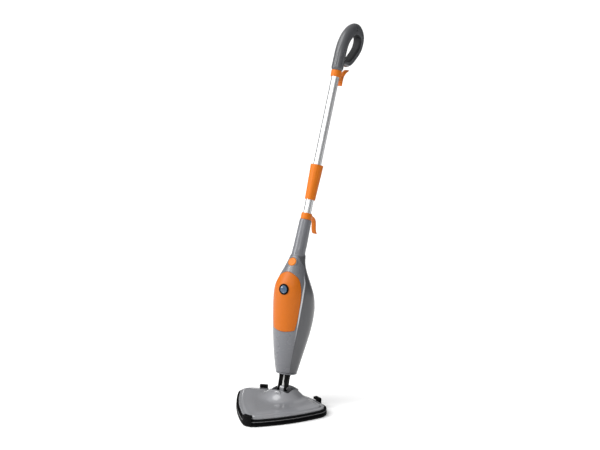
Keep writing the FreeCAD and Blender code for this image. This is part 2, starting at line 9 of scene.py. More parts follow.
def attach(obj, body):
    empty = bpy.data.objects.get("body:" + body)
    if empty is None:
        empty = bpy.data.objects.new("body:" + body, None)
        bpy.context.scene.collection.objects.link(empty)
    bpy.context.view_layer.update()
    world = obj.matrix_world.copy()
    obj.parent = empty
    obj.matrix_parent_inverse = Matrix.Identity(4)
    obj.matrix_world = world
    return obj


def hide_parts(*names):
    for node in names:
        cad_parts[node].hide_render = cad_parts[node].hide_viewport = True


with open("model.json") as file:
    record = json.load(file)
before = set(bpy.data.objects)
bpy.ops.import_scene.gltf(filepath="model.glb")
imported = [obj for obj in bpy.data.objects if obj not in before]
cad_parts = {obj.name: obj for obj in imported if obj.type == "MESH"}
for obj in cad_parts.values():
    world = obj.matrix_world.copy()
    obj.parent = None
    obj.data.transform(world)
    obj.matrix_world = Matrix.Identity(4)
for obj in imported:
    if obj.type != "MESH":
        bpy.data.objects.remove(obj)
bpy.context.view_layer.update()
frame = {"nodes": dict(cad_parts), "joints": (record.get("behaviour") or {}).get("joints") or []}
print("frame loaded:", len(frame["nodes"]), "nodes")

# places read from the frame: the body leans a little, the pole leans more
mm = 0.001
joints = {joint["name"]: joint for joint in frame["joints"]}
pin = Vector(joints["neck_pitch"]["pos_m"])
bodyBack = Vector(joints["switch_press"]["axis"])
bodyUp = Vector((0, -bodyBack.z, bodyBack.y))
poleBack = Vector(joints["hook_turn"]["axis"])
poleUp = Vector((0, -poleBack.z, poleBack.y))
hookPivot = Vector(joints["hook_turn"]["pos_m"])
poleFoot = hookPivot - 34 * mm * poleBack - 553 * mm * poleUp
capCentre = Vector(joints["cap_turn"]["pos_m"])
capOut = Vector(joints["cap_turn"]["axis"])
sideways = Vector((1, 0, 0))


def onBody(x, y, z):
    return pin + mm * (x * sideways + y * bodyBack + z * bodyUp)


def onPole(x, y, z):
    return poleFoot + mm * (x * sideways + y * poleBack + z * poleUp)


def onHead(x, y, z):
    return Vector((x * mm, y * mm, z * mm))


def onCap(x, y, z):
    capUp = sideways.cross(capOut)
    return capCentre + mm * (x * sideways - y * capUp + z * capOut)


# Catmull-Rom value at x of a list of (x, value)
def smoothValue(table, x):
    xs = [row[0] for row in table]
    i = min(max(bisect_right(xs, x) - 1, 0), len(xs) - 2)
    span = xs[i + 1] - xs[i]
    t = min(max((x - xs[i]) / span, 0), 1)
    p0, p1 = table[i][1], table[i + 1][1]
    before = table[max(i - 1, 0)]
    after = table[min(i + 2, len(xs) - 1)]
    m0 = (p1 - before[1]) / (xs[i + 1] - before[0]) * span
    m1 = (after[1] - p0) / (after[0] - xs[i]) * span
    t2, t3 = t * t, t * t * t
    return (2 * t3 - 3 * t2 + 1) * p0 + (t3 - 2 * t2 + t) * m0 + (3 * t2 - 2 * t3) * p1 + (t3 - t2) * m1


# materials
def nodeSetup(name):
    material = bpy.data.materials.new(name)
    material.use_nodes = True
    tree = material.node_tree
    return material, tree, tree.nodes["Principled BSDF"]


def addNode(tree, kind, **settings):
    node = tree.nodes.new(kind)
    for key, value in settings.items():
        if key in node.inputs.keys():
            node.inputs[key].default_value = value
        else:
            setattr(node, key, value)
    return node


def ramp(tree, source, low, high, dark, light):
    node = addNode(tree, "ShaderNodeMapRange")
    for key, value in (("From Min", low), ("From Max", high), ("To Min", dark), ("To Max", light)):
        node.inputs[key].default_value = value
    tree.links.new(source, node.inputs["Value"])
    return node.outputs["Result"]


# a texture on object coordinates, turned and stretched by place where given
def objectTexture(tree, kind, place=None, **settings):
    vector = addNode(tree, "ShaderNodeTexCoord").outputs["Object"]
    if place:
        mapping = addNode(tree, "ShaderNodeMapping", **place)
        tree.links.new(vector, mapping.inputs["Vector"])
        vector = mapping.outputs["Vector"]
    texture = addNode(tree, kind, **settings)
    tree.links.new(vector, texture.inputs["Vector"])
    return texture


def tintBetween(tree, shader, source, dark, light):
    tint = addNode(tree, "ShaderNodeMix", data_type="RGBA")
    tint.inputs["A"].default_value = [*dark, 1]
    tint.inputs["B"].default_value = [*light, 1]
    tree.links.new(source, tint.inputs["Factor"])
    tree.links.new(tint.outputs["Result"], shader.inputs["Base Color"])


def bumpFrom(tree, shader, source, strength, distance):
    bump = addNode(tree, "ShaderNodeBump", Strength=strength, Distance=distance)
    tree.links.new(source, bump.inputs["Height"])
    tree.links.new(bump.outputs["Normal"], shader.inputs["Normal"])


# injection-moulded plastic: fine spark texture, faint flow marks and a scatter of light scuffs
def mouldedPlastic(name, colour, roughness=0.32, grain=0.05, coat=0.0, mottle=0.10, specular=0.5):
    material, tree, shader = nodeSetup(name)
    flow = objectTexture(tree, "ShaderNodeTexNoise", Scale=9.0, Detail=4.0, Roughness=0.6).outputs["Fac"]
    fine = objectTexture(tree, "ShaderNodeTexNoise", Scale=900.0, Detail=3.0)
    scuff = objectTexture(tree, "ShaderNodeTexNoise", {"Scale": (60.0, 60.0, 700.0)}, Scale=1.0, Detail=2.0,
                          Distortion=1.5)
    tintBetween(tree, shader, ramp(tree, flow, 0.3, 0.7, 0, 1), [c * (1 - mottle) for c in colour],
                [min(1, c * (1 + mottle)) for c in colour])
    gloss = addNode(tree, "ShaderNodeMath", operation="ADD")
    tree.links.new(ramp(tree, flow, 0.3, 0.7, roughness - 0.03, roughness + 0.04), gloss.inputs[0])
    tree.links.new(ramp(tree, scuff.outputs["Fac"], 0.66, 0.80, 0.0, 0.09), gloss.inputs[1])
    tree.links.new(gloss.outputs["Value"], shader.inputs["Roughness"])
    bumpFrom(tree, shader, fine.outputs["Fac"], grain, 0.0002)
    shader.inputs["Specular IOR Level"].default_value = specular
    if coat:
        shader.inputs["Coat Weight"].default_value = coat
        shader.inputs["Coat Roughness"].default_value = 0.12
    return material


# anodised tube: fine lines along its length and a faint variation round it
def drawnAluminium(name):
    material, tree, shader = nodeSetup(name)
    along = {"Rotation": (radians(poleTilt), 0, 0), "Scale": (900.0, 900.0, 6.0)}
    lines = objectTexture(tree, "ShaderNodeTexNoise", along, Scale=1.0, Detail=3.0,
                          Roughness=0.7).outputs["Fac"]
    tintBetween(tree, shader, lines, (0.58, 0.59, 0.60), (0.74, 0.75, 0.76))
    tree.links.new(ramp(tree, lines, 0.3, 0.7, 0.24, 0.38), shader.inputs["Roughness"])
    bumpFrom(tree, shader, lines, 0.12, 0.0001)
    shader.inputs["Metallic"].default_value = 1.0
    return material


def turnedMetal(name, colour, roughness=0.3):
    material, tree, shader = nodeSetup(name)
    marks = objectTexture(tree, "ShaderNodeTexNoise", Scale=1400.0, Detail=2.0).outputs["Fac"]
    tintBetween(tree, shader, marks, [c * 0.8 for c in colour], [min(1, c * 1.1) for c in colour])
    tree.links.new(ramp(tree, marks, 0.3, 0.7, roughness - 0.06, roughness + 0.1), shader.inputs["Roughness"])
    shader.inputs["Metallic"].default_value = 1.0
    return material


# matt rubber with a fine grain and a little dust
def softRubber(name, colour):
    material, tree, shader = nodeSetup(name)
    grain = objectTexture(tree, "ShaderNodeTexVoronoi", Scale=1500.0)
    dust = objectTexture(tree, "ShaderNodeTexNoise", Scale=25.0, Detail=5.0).outputs["Fac"]
    tintBetween(tree, shader, ramp(tree, dust, 0.45, 0.8, 0, 1), colour, [c * 1.8 for c in colour])
    tree.links.new(ramp(tree, dust, 0.3, 0.7, 0.42, 0.6), shader.inputs["Roughness"])
    bumpFrom(tree, shader, grain.outputs["Distance"], 0.15, 0.0002)
    shader.inputs["Specular IOR Level"].default_value = 0.04
    return material


# blue lens over a pilot lamp: clear coat on a deep, slightly uneven body
def tintedLens(name):
    material, tree, shader = nodeSetup(name)
    swirl = objectTexture(tree, "ShaderNodeTexNoise", Scale=120.0, Detail=2.0)
    tintBetween(tree, shader, swirl.outputs["Fac"], (0.010, 0.036, 0.085), (0.020, 0.075, 0.150))
    shader.inputs["Roughness"].default_value = 0.16
    shader.inputs["Coat Weight"].default_value = 0.8
    shader.inputs["Coat Roughness"].default_value = 0.05
    return material


def hookFabric(name):
    material, tree, shader = nodeSetup(name)
    weave = objectTexture(tree, "ShaderNodeTexVoronoi", Scale=900.0).outputs["Distance"]
    tree.links.new(ramp(tree, weave, 0, 0.6, 0.55, 0.95), shader.inputs["Roughness"])
    tintBetween(tree, shader, weave, (0.02, 0.02, 0.022), (0.07, 0.07, 0.075))
    bumpFrom(tree, shader, weave, 0.6, 0.0005)
    return material


poleTilt = degrees(atan2(poleUp.y, poleUp.z))
shellGrey = mouldedPlastic("shellGrey", (0.130, 0.133, 0.146), roughness=0.28, coat=0.15, mottle=0.04)
headGrey = mouldedPlastic("headGrey", (0.205, 0.208, 0.220), roughness=0.14, coat=0.9, mottle=0.03,
                          grain=0.02)
# rear shell grey: slightly darker than the front shell's, and darkened further as painted shade on the rear
# side
rearShadedGrey = mouldedPlastic("rearShadedGrey", (0.074, 0.075, 0.081), roughness=0.32, coat=0.10, mottle=0.05)
handleGrey = mouldedPlastic("handleGrey", (0.066, 0.068, 0.074), roughness=0.28, coat=0.2, mottle=0.05)
gripDark = mouldedPlastic("gripDark", (0.012, 0.0125, 0.014), roughness=0.5, grain=0.12, mottle=0.08,
                          specular=0.2)
# lighter silver for the seam trim bead: a painted highlight line
highlightSilver = mouldedPlastic("highlightSilver", (0.46, 0.47, 0.49), roughness=0.26, coat=0.3, mottle=0.03)
panelOrange = mouldedPlastic("panelOrange", (0.460, 0.108, 0.001), roughness=0.40, mottle=0.05, specular=0.25)
capOrange = mouldedPlastic("capOrange", (0.560, 0.150, 0.002), roughness=0.40, mottle=0.03, specular=0.25)
fittingOrange = mouldedPlastic("fittingOrange", (0.560, 0.135, 0.002), roughness=0.42, mottle=0.04,
                               specular=0.25)
satinBlack = mouldedPlastic("satinBlack", (0.002, 0.002, 0.0022), roughness=0.36, grain=0.08, mottle=0.1,
                            specular=0.05)
innerBlack = mouldedPlastic("innerBlack", (0.02, 0.02, 0.022), roughness=0.5, grain=0.1, mottle=0.1)
bumperRubber = softRubber("bumperRubber", (0.002, 0.002, 0.0022))
# lighter grey for the bumper groove's faces: a painted highlight line between the two black bands
grooveHighlightGrey = mouldedPlastic("grooveHighlightGrey", (0.16, 0.16, 0.165), roughness=0.35, mottle=0.05)
tubeMetal = drawnAluminium("tubeMetal")
screwSteel = turnedMetal("screwSteel", (0.55, 0.55, 0.56))
castMetal = turnedMetal("castMetal", (0.45, 0.45, 0.46), roughness=0.5)
nozzleBrass = turnedMetal("nozzleBrass", (0.72, 0.50, 0.20))
blueLens = tintedLens("blueLens")
stripFabric = hookFabric("stripFabric")
hoseSilicone = mouldedPlastic("hoseSilicone", (0.62, 0.62, 0.61), roughness=0.4, mottle=0.04)
tankPlastic = mouldedPlastic("tankPlastic", (0.60, 0.63, 0.66), roughness=0.35, mottle=0.03)
boardGreen = mouldedPlastic("boardGreen", (0.02, 0.14, 0.05), roughness=0.45, mottle=0.15)
print("materials made")


# mesh helpers

# bakes the modifiers into the mesh and shades it smooth, with creases kept
def finishMesh(obj, sharp=38):
    if obj.modifiers:
        graph = bpy.context.evaluated_depsgraph_get()
        mesh = bpy.data.meshes.new_from_object(obj.evaluated_get(graph))
        obj.modifiers.clear()
        obj.data = mesh
    for polygon in obj.data.polygons:
        polygon.use_smooth = True
    obj.data.set_sharp_from_angle(angle=radians(sharp))
    return obj


def makePiece(name, verts, faces, material, body, replaced=(), slot=None, sharp=38, wall=0, marks=None,
              second=None):
    mesh = bpy.data.meshes.new(name)
    mesh.from_pydata([tuple(v) for v in verts], [], faces)
    mesh.materials.append(material)
    if marks:
        mesh.materials.append(second)
        mesh.polygons.foreach_set("material_index", marks)
    shape = bmesh.new()
    shape.from_mesh(mesh)
    bmesh.ops.remove_doubles(shape, verts=shape.verts, dist=0.00001)
    bmesh.ops.dissolve_degenerate(shape, edges=shape.edges, dist=0.000002)
    if not wall:
        bmesh.ops.recalc_face_normals(shape, faces=shape.faces)
    shape.to_mesh(mesh)
    shape.free()
    obj = bpy.data.objects.new(name, mesh)
    bpy.context.scene.collection.objects.link(obj)
    if wall:
        thick = obj.modifiers.new("wall", "SOLIDIFY")
        thick.thickness = wall * mm
        thick.offset = -1
        thick.use_even_offset = False
    finishMesh(obj, sharp)
    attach(obj, body)
    if replaced:
        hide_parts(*replaced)
    return obj


def gridFaces(rows, columns, wrapRows=False, wrapColumns=False, start=0, flip=False):
    faces = []
    for i in range(rows if wrapRows else rows - 1):
        for j in range(columns if wrapColumns else columns - 1):
            a = start + i * columns + j
            b = start + i * columns + (j + 1) % columns
            c = start + ((i + 1) % rows) * columns + (j + 1) % columns
            d = start + ((i + 1) % rows) * columns + j
            faces.append((d, c, b, a) if flip else (a, b, c, d))
    return faces


# turned shape: profile is (radius, height) pairs round the place's own Z axis
def lathe(place, profile, around=64, closed=True):
    verts = []
    for radius, height in profile:
        for j in range(around):
            angle = 2 * pi * j / around
            verts.append(place(radius * cos(angle), radius * sin(angle), height))
    return verts, gridFaces(len(profile), around, wrapRows=closed, wrapColumns=True)


# skin through rings of points, with flat ends unless it closes on itself
def sweep(sections, around, closed=False):
    verts = [p for ring in sections for p in ring]
    faces = gridFaces(len(sections), around, wrapRows=closed, wrapColumns=True)
    if not closed:
        faces.append(tuple(range(around))[::-1])
        last = (len(sections) - 1) * around
        faces.append(tuple(last + j for j in range(around)))
    return verts, faces


# box between two corners
def roundedBar(place, x0, x1, y0, y1, z0, z1):
    corners = [(x, y, z) for z in (z0, z1) for x, y in ((x0, y0), (x1, y0), (x1, y1), (x0, y1))]
    faces = [(3, 2, 1, 0), (4, 5, 6, 7), (0, 1, 5, 4), (1, 2, 6, 5), (2, 3, 7, 6), (3, 0, 4, 7)]
    return [place(*c) for c in corners], faces


# several (verts, faces) as one
def joinParts(parts):
    verts, faces = [], []
    for v, f in parts:
        base = len(verts)
        verts.extend(v)
        faces.extend(tuple(i + base for i in face) for face in f)
    return verts, faces


# camera, floor and light
camera = {
    "place": (2.257, -3.393, 1.687),
    "target": (0.080, 0.050, 0.585),
    "lens": 87.84,
}


def makeCamera():
    data = bpy.data.cameras.new("camera")
    data.lens = camera["lens"]
    data.sensor_width = 36
    obj = bpy.data.objects.new("camera", data)
    obj.location = camera["place"]
    aim = Vector(camera["target"]) - Vector(camera["place"])
    obj.rotation_euler = aim.to_track_quat("-Z", "Y").to_euler()
    bpy.context.scene.collection.objects.link(obj)
    bpy.context.scene.camera = obj


lights = {
    "key": {"place": (-2.6, -2.2, 2.0), "aim": (0.05, 0.2, 0.6), "size": (0.7, 2.6), "power": 62},
    "front": {"place": (1.4, -3.6, 3.4), "aim": (0.05, 0.2, 0.5), "size": (1.6, 1.2), "power": 26},
    "sun": {"from": (-0.50, -0.45, 1.0), "spread": 50, "power": 1.9},
    "sky": 0.50,
    "shade": 0.42,
}


def aimed(obj, aim):
    direction = Vector(aim) - obj.location
    obj.rotation_euler = direction.to_track_quat("-Z", "Y").to_euler()
    bpy.context.scene.collection.objects.link(obj)


# two soft boxes, a wide sun and a sky that is brighter on the left and front than behind
def makeLights():
    for name in ("key", "front"):
        plan = lights[name]
        data = bpy.data.lights.new(name, "AREA")
        data.shape = "RECTANGLE"
        data.size, data.size_y = plan["size"]
        data.energy = plan["power"]
        obj = bpy.data.objects.new(name, data)
        obj.location = plan["place"]
        aimed(obj, plan["aim"])
    data = bpy.data.lights.new("sun", "SUN")
    data.energy = lights["sun"]["power"]
    data.angle = radians(lights["sun"]["spread"])
    obj = bpy.data.objects.new("sun", data)
    obj.location = lights["sun"]["from"]
    aimed(obj, (0, 0, 0))
    world = bpy.data.worlds.new("studio")
    world.use_nodes = True
    tree = world.node_tree
    background = tree.nodes["Background"]
    coords = addNode(tree, "ShaderNodeTexCoord")
    dot = addNode(tree, "ShaderNodeVectorMath", operation="DOT_PRODUCT")
    dot.inputs[1].default_value = Vector((-0.62, -0.70, 0.35)).normalized()
    tree.links.new(coords.outputs["Generated"], dot.inputs[0])
    tree.links.new(ramp(tree, dot.outputs["Value"], -0.7, 0.7, lights["sky"] - lights["shade"],
                        lights["sky"] + lights["shade"]), background.inputs["Strength"])
    background.inputs["Color"].default_value = (1, 1, 1, 1)
    bpy.context.scene.world = world
    bpy.context.scene.view_settings.view_transform = "Standard"


def makeFloor():
    mesh = bpy.data.meshes.new("floor")
    size = 60.0
    mesh.from_pydata([(-size, -size, 0), (size, -size, 0), (size, size, 0), (-size, size, 0)], [],
                     [(0, 1, 2, 3)])
    floor = bpy.data.objects.new("floor", mesh)
    bpy.context.scene.collection.objects.link(floor)
    material, tree, shader = nodeSetup("paleFloor")
    shader.inputs["Base Color"].default_value = (0.93, 0.93, 0.93, 1)
    shader.inputs["Roughness"].default_value = 0.75
    shader.inputs["Specular IOR Level"].default_value = 0.0
    shader.inputs["Emission Color"].default_value = (1, 1, 1, 1)
    shader.inputs["Emission Strength"].default_value = 0.10
    floor.data.materials.append(material)


cards = {
    "left": {"place": (-1.50, 0.85, 0.85), "turn": 60, "half": 1.15, "shade": 0.16},
    "right": {"place": (0.55, 1.60, 0.85), "turn": -10, "half": 0.5, "shade": 0.03},
}


# dark cards beside the object, out of view, that darken the edges of glossy things
def makeCards():
    for name, plan in cards.items():
        material, tree, shader = nodeSetup(name + "CardGrey")
        shader.inputs["Base Color"].default_value = (plan["shade"], plan["shade"], plan["shade"], 1)
        shader.inputs["Roughness"].default_value = 1.0
        half = plan["half"]
        mesh = bpy.data.meshes.new(name + "Card")
        mesh.from_pydata([(-half, 0, -0.8), (half, 0, -0.8), (half, 0, 0.8), (-half, 0, 0.8)], [],
                         [(0, 1, 2, 3)])
        turn = Matrix.Translation(plan["place"]) @ Matrix.Rotation(radians(plan["turn"]), 4, "Z")
        mesh.transform(turn)
        card = bpy.data.objects.new(name + "Card", mesh)
        bpy.context.scene.collection.objects.link(card)
        card.data.materials.append(material)
        card.visible_camera = False
        card.visible_diffuse = False
        card.visible_shadow = False
        card.visible_transmission = False


makeCamera()
makeLights()
makeFloor()
makeCards()
print("camera, light and floor made")

# every CAD node gets its finish first; replaced ones are hidden later
finishes = {
    satinBlack: ["carpet_glider", "base_plate", "front_clip", "rear_clips", "yoke", "switch_bezel",
                 "lock_button", "coupling_core", "cap_plug"],
    innerBlack: ["steam_manifold", "switch_block", "filler_neck", "pump"],
    bumperRubber: ["rubber_bumper", "cord_gland", "cap_seal"],
    stripFabric: ["hook_strips"],
    nozzleBrass: ["steam_nozzles", "tongue_bush"],
    screwSteel: ["head_screws", "pitch_pin", "pin_clips", "body_screws", "hook_screw", "handle_screws",
                 "thermostat", "thermal_fuse"],
    castMetal: ["heater_block"],
    headGrey: ["head_cover", "bearing_caps", "swivel_drum"],
    shellGrey: ["front_shell", "bottom_ring", "neck_cover"],
    rearShadedGrey: ["rear_shell"],
    handleGrey: ["handle_left", "handle_right"],
    panelOrange: ["front_panel"],
    capOrange: ["filler_cap"],
    fittingOrange: ["lower_collar", "coupling_sleeve", "upper_collar", "turning_hook"],
    tubeMetal: ["lower_tube", "upper_tube"],
    blueLens: ["switch_button"],
    hoseSilicone: ["steam_pipe", "filler_pipe", "water_hoses"],
    tankPlastic: ["water_tank"],
    boardGreen: ["circuit_board"],
}
for material, names in finishes.items():
    for name in names:
        node = frame["nodes"][name]
        node.data.materials.clear()
        node.data.materials.append(material)
print("CAD nodes finished")

# body: the outer skin by angle from the front and height
body = {
    "stations": [(45.0, 9.6, 31.6), (85.0, 9.3, 40.1), (135.0, 11.3, 49.8), (180.0, 13.9, 57.4),
                 (222.0, 14.4, 62.0), (258.0, 11.4, 63.0), (290.0, 5.2, 60.3), (318.0, -1.8, 53.4),
                 (342.0, -3.6, 43.8), (364.0, -2.6, 34.2), (386.0, 0.6, 26.8), (406.0, 6.8, 22.4)],
    "seam": [(23.6, 45.0), (30.0, 88.0), (37.0, 135.0), (43.5, 180.0), (50.0, 237.0), (53.2, 285.0),
             (50.6, 320.0), (40.6, 348.0), (24.0, 388.0), (0.0, 412.0)],
    "panel": [(34.9, 183.2), (37.3, 184.8), (38.6, 188.6), (43.0, 212.0), (47.0, 250.0), (48.6, 285.0),
              (44.6, 318.0), (31.0, 344.0), (0.0, 358.0)],
    "bottom": 50.0,
    "top": 406.0,
    "wall": 2.5,
}
offsetTable = [(t, offset) for t, offset, radius in body["stations"]]
radiusTable = [(t, radius) for t, offset, radius in body["stations"]]


def skinRadius(t):
    return smoothValue(radiusTable, t)


# point of the body's surface at phi from the front and height t, lifted by out
def skin(phi, t, out=0.0):
    radius = skinRadius(t) + out
    return onBody(radius * sin(phi), smoothValue(offsetTable, t) - radius * cos(phi), t)


def frontAngle(x, t):
    return asin(max(-1.0, min(1.0, x / skinRadius(t))))


# evenly spaced points on a smooth curve through the given ones (of any dimension)
def curvePoints(points, count):
    lengths = [0.0]
    for a, b in zip(points, points[1:]):
        lengths.append(lengths[-1] + sqrt(sum((p - q) ** 2 for p, q in zip(a[:2], b[:2]))))
    tables = [[(s, p[i]) for s, p in zip(lengths, points)] for i in range(len(points[0]))]
    dense = [[smoothValue(table, lengths[-1] * k / 800) for table in tables] for k in range(801)]
    run = [0.0]
    for a, b in zip(dense, dense[1:]):
        run.append(run[-1] + sqrt(sum((p - q) ** 2 for p, q in zip(a[:2], b[:2]))))
    result = []
    j = 0
    for k in range(count):
        want = run[-1] * k / (count - 1)
        while j < 799 and run[j + 1] < want:
            j += 1
        part = (want - run[j]) / max(run[j + 1] - run[j], 1e-9)
        result.append([p + (q - p) * min(part, 1) for p, q in zip(dense[j], dense[j + 1])])
    return result


def mirrored(points):
    return [[-p[0], *p[1:]] for p in reversed(points)]


def lineBetween(a, b, count):
    return [[p + (q - p) * k / (count - 1) for p, q in zip(a, b)] for k in range(count)]


seamCurve = curvePoints(body["seam"] + mirrored(body["seam"][:-1]), 1601)
seamRight = [p for p in seamCurve[:801] if body["bottom"] <= p[1] <= body["top"]]


seamRows = [(p[1], p[0]) for p in seamRight[::8]]
panelCurve = curvePoints(body["panel"] + mirrored(body["panel"][:-1]), 481)
sideCount, topCount, bottomCount = 120, 30, 44


# a level edge that hangs a little in the middle
def sagging(points, dip):
    reach = points[0][0]
    return [[x, t - dip * (1 - (x / reach) ** 2)] for x, t in points]


def resample(points, count):
    step = (len(points) - 1) / (count - 1)
    return [points[min(len(points) - 1, round(k * step))] for k in range(count)]


def loopAngles(loop):
    return [(frontAngle(x, t), t) for x, t in loop]


# the window loop and the outer loop of the front shell, sampled alike: right, top, left, bottom
topStart = next(i for i, p in enumerate(panelCurve) if p[0] < 17 and p[1] > 340)
windowRight = resample(panelCurve[:topStart + 1], sideCount)
windowTop = resample(panelCurve[topStart:len(panelCurve) - topStart], topCount)
windowLoop = windowRight[:-1] + windowTop[:-1] + mirrored(windowRight)[:-1]
windowLoop += sagging(lineBetween(mirrored(windowRight)[-1], windowRight[0], bottomCount), 6.4)[:-1]
outerRight = resample(seamRight, sideCount)
outerLoop = outerRight[:-1] + lineBetween(outerRight[-1], mirrored(outerRight)[0], topCount)[:-1]
outerLoop += mirrored(outerRight)[:-1] + lineBetween(mirrored(outerRight)[-1], outerRight[0],
                                                     bottomCount)[:-1]


# rows of skin points from one loop to another. edgeIn and edgeOut are (distance, lift) near each loop
def sheetBetween(inner, outer, edgeIn, edgeOut, middle):
    innerAngles, outerAngles = loopAngles(inner), loopAngles(outer)
    rows = []
    for k in range(len(edgeIn) + len(middle) + len(edgeOut)):
        row = []
        for (p0, t0), (p1, t1) in zip(innerAngles, outerAngles):
            radius = skinRadius((t0 + t1) / 2)
            span = max(sqrt(((p1 - p0) * radius) ** 2 + (t1 - t0) ** 2), 0.5)
            first = min(edgeIn[-1][0] / span, 0.4)
            last = 1 - min(edgeOut[-1][0] / span, 0.4)
            if k < len(edgeIn):
                v, lift = first * edgeIn[k][0] / edgeIn[-1][0], edgeIn[k][1]
            elif k < len(edgeIn) + len(middle):
                v, lift = first + (last - first) * middle[k - len(edgeIn)], edgeIn[-1][1]
                lift += (edgeOut[-1][1] - lift) * middle[k - len(edgeIn)]
            else:
                m = len(edgeIn) + len(middle) + len(edgeOut) - 1 - k
                v = 1 - (1 - last) * edgeOut[m][0] / edgeOut[-1][0]
                lift = edgeOut[m][1]
            row.append(skin(p0 + (p1 - p0) * v, t0 + (t1 - t0) * v, lift))
        rows.append(row)
    return rows


# loop of (x, t) moved towards its inside by a distance
def insetLoop(loop, distance):
    count = len(loop)
    result = []
    for k in range(count):
        a, b = loop[k - 1], loop[(k + 1) % count]
        dx, dt = b[0] - a[0], b[1] - a[1]
        size = max(sqrt(dx * dx + dt * dt), 1e-6)
        result.append([loop[k][0] - dt / size * distance, loop[k][1] + dx / size * distance])
    return result


bodyMiddle = onBody(0, 8, 220)


# turns an open sheet's faces so that they look away from a point inside
def orient(verts, faces, inside):
    total = 0.0
    for face in faces[::7]:
        a, b, c = (verts[i] for i in face[:3])
        normal = (b - a).cross(c - a)
        total += normal.dot(a - inside)
    return faces if total > 0 else [face[::-1] for face in faces]


def sheetPiece(name, rows, material, replaced, wall, slot, inside=bodyMiddle, wrap=True, body="upright",
               sharp=38):
    columns = len(rows[0])
    verts = [p for row in rows for p in row]
    faces = orient(verts, gridFaces(len(rows), columns, wrapColumns=wrap), inside)
    return makePiece(name, verts, faces, material, body, replaced, slot, sharp=sharp, wall=wall)


# takes a closed shape out of a piece
def cut(obj, verts, faces, name="cutter"):
    mesh = bpy.data.meshes.new(name)
    mesh.from_pydata([tuple(v) for v in verts], [], faces)
    shape = bmesh.new()
    shape.from_mesh(mesh)
    bmesh.ops.recalc_face_normals(shape, faces=shape.faces)
    shape.to_mesh(mesh)
    shape.free()
    tool = bpy.data.objects.new(name, mesh)
    bpy.context.scene.collection.objects.link(tool)
    step = obj.modifiers.new(name, "BOOLEAN")
    step.operation = "DIFFERENCE"
    step.solver = "EXACT"
    step.object = tool
    finishMesh(obj)
    bpy.data.objects.remove(tool)
    return obj


softEdge = [(0.0, -1.1), (0.12, -0.45), (0.4, -0.12), (0.9, 0.0)]
frontShell = sheetPiece("frontShell", sheetBetween(windowLoop, outerLoop, softEdge, softEdge,
                                                   [k / 26 for k in range(1, 26)]),
                        shellGrey, ["front_shell"], body["wall"], "grey_gloss_shell")
cap = {"pocket": 14.0, "depth": 6.0}
cut(frontShell, *lathe(onCap, [(0.01, -cap["depth"]), (cap["pocket"], -cap["depth"]), (cap["pocket"], 14),
                               (0.01, 14)]))
print("front shell made")

# rear shell, split from the front one by a shallow groove
rear = {"rows": 96, "columns": 132, "gap": 0.35}
rearRows = []
topLift = [(0.9, -0.35), (1.3, -1.0), (1.4, -1.9)]
rowHeights = [body["bottom"] + (body["top"] - 1.4 - body["bottom"]) * k / (rear["rows"] - 1)
              for k in range(rear["rows"])]
rowPlan = [(t, 0.0) for t in rowHeights]
rowPlan[0] = (body["bottom"], -0.8)
rowPlan.insert(1, (body["bottom"] + 0.3, -0.2))
rowPlan.insert(2, (body["bottom"] + 0.9, 0.0))
rowPlan += [(body["top"] - 1.4 + rise, lift) for rise, lift in topLift]
for t, lift in rowPlan:
    radius = skinRadius(t)
    start = frontAngle(max(smoothValue(seamRows, t), 4.0), t) + rear["gap"] / radius
    row = []
    for k in range(rear["columns"]):
        m = min(k, rear["columns"] - 1 - k)
        if m < len(softEdge):
            distance, down = softEdge[m]
            phi = start + distance / radius if k < len(softEdge) else 2 * pi - start - distance / radius
        else:
            down = 0.0
            u = (k - len(softEdge) + 1) / (rear["columns"] - 2 * len(softEdge) + 1)
            first = start + softEdge[-1][0] / radius
            last = 2 * pi - start - softEdge[-1][0] / radius
            phi = first + (last - first) * u
        row.append(skin(phi, t, lift + down))
    rearRows.append(row)
# the rear shell's darker grey includes painted shade
rearShell = sheetPiece("rearShell", rearRows, rearShadedGrey, ["rear_shell"], body["wall"], "dark_grey_shell",
                       wrap=False)
bodyScrews = {"places": [(-26, 120), (26, 120), (-34, 190), (34, 190), (0, 345)], "well": 3.0}


# rear skin offset at a screw
def screwSeat(x, z):
    radius = skinRadius(z)
    return smoothValue(offsetTable, z) + sqrt(radius * radius - x * x)


for x, z in bodyScrews["places"]:
    edge = screwSeat(x, z)

    def atScrew(u, v, w):
        return onBody(x + u, edge + w, z - v)
    cut(rearShell, *lathe(atScrew, [(0.01, -12), (bodyScrews["well"] + 0.05, -12),
                                    (bodyScrews["well"] + 0.05, 6), (0.01, 6)], around=40))
print("rear shell made")

# top ring of the shells, under the neck
sheetRing = [(13.2, 404.0), (13.2, 406.0), (20.2, 406.1), (20.9, 405.6), (20.9, 404.0)]


def onBodyTop(x, y, z):
    return onBody(x, y + smoothValue(offsetTable, 406), z)


# front panel, slightly proud, with a round hole for the switch
switch = {"height": 305.5, "bezel": 16.5}
panelLoop = insetLoop(windowLoop, 0.35)
holeLoop = []
for x, t in panelLoop:
    angle = atan2(t - switch["height"], x)
    holeLoop.append([(switch["bezel"] - 0.2) * cos(angle),
                     switch["height"] + (switch["bezel"] - 0.2) * sin(angle)])
panelEdge = [(0.0, -1.2), (0.1, -0.4), (0.35, 0.05), (0.8, 0.28), (1.5, 0.35)]
panelRows = sheetBetween(holeLoop, panelLoop, [(0.0, 0.3), (0.5, 0.35)], panelEdge,
                         [k / 30 for k in range(1, 30)])
sheetPiece("frontPanel", panelRows, panelOrange, ["front_panel"], 1.3, "orange_plastic")
print("front panel made")
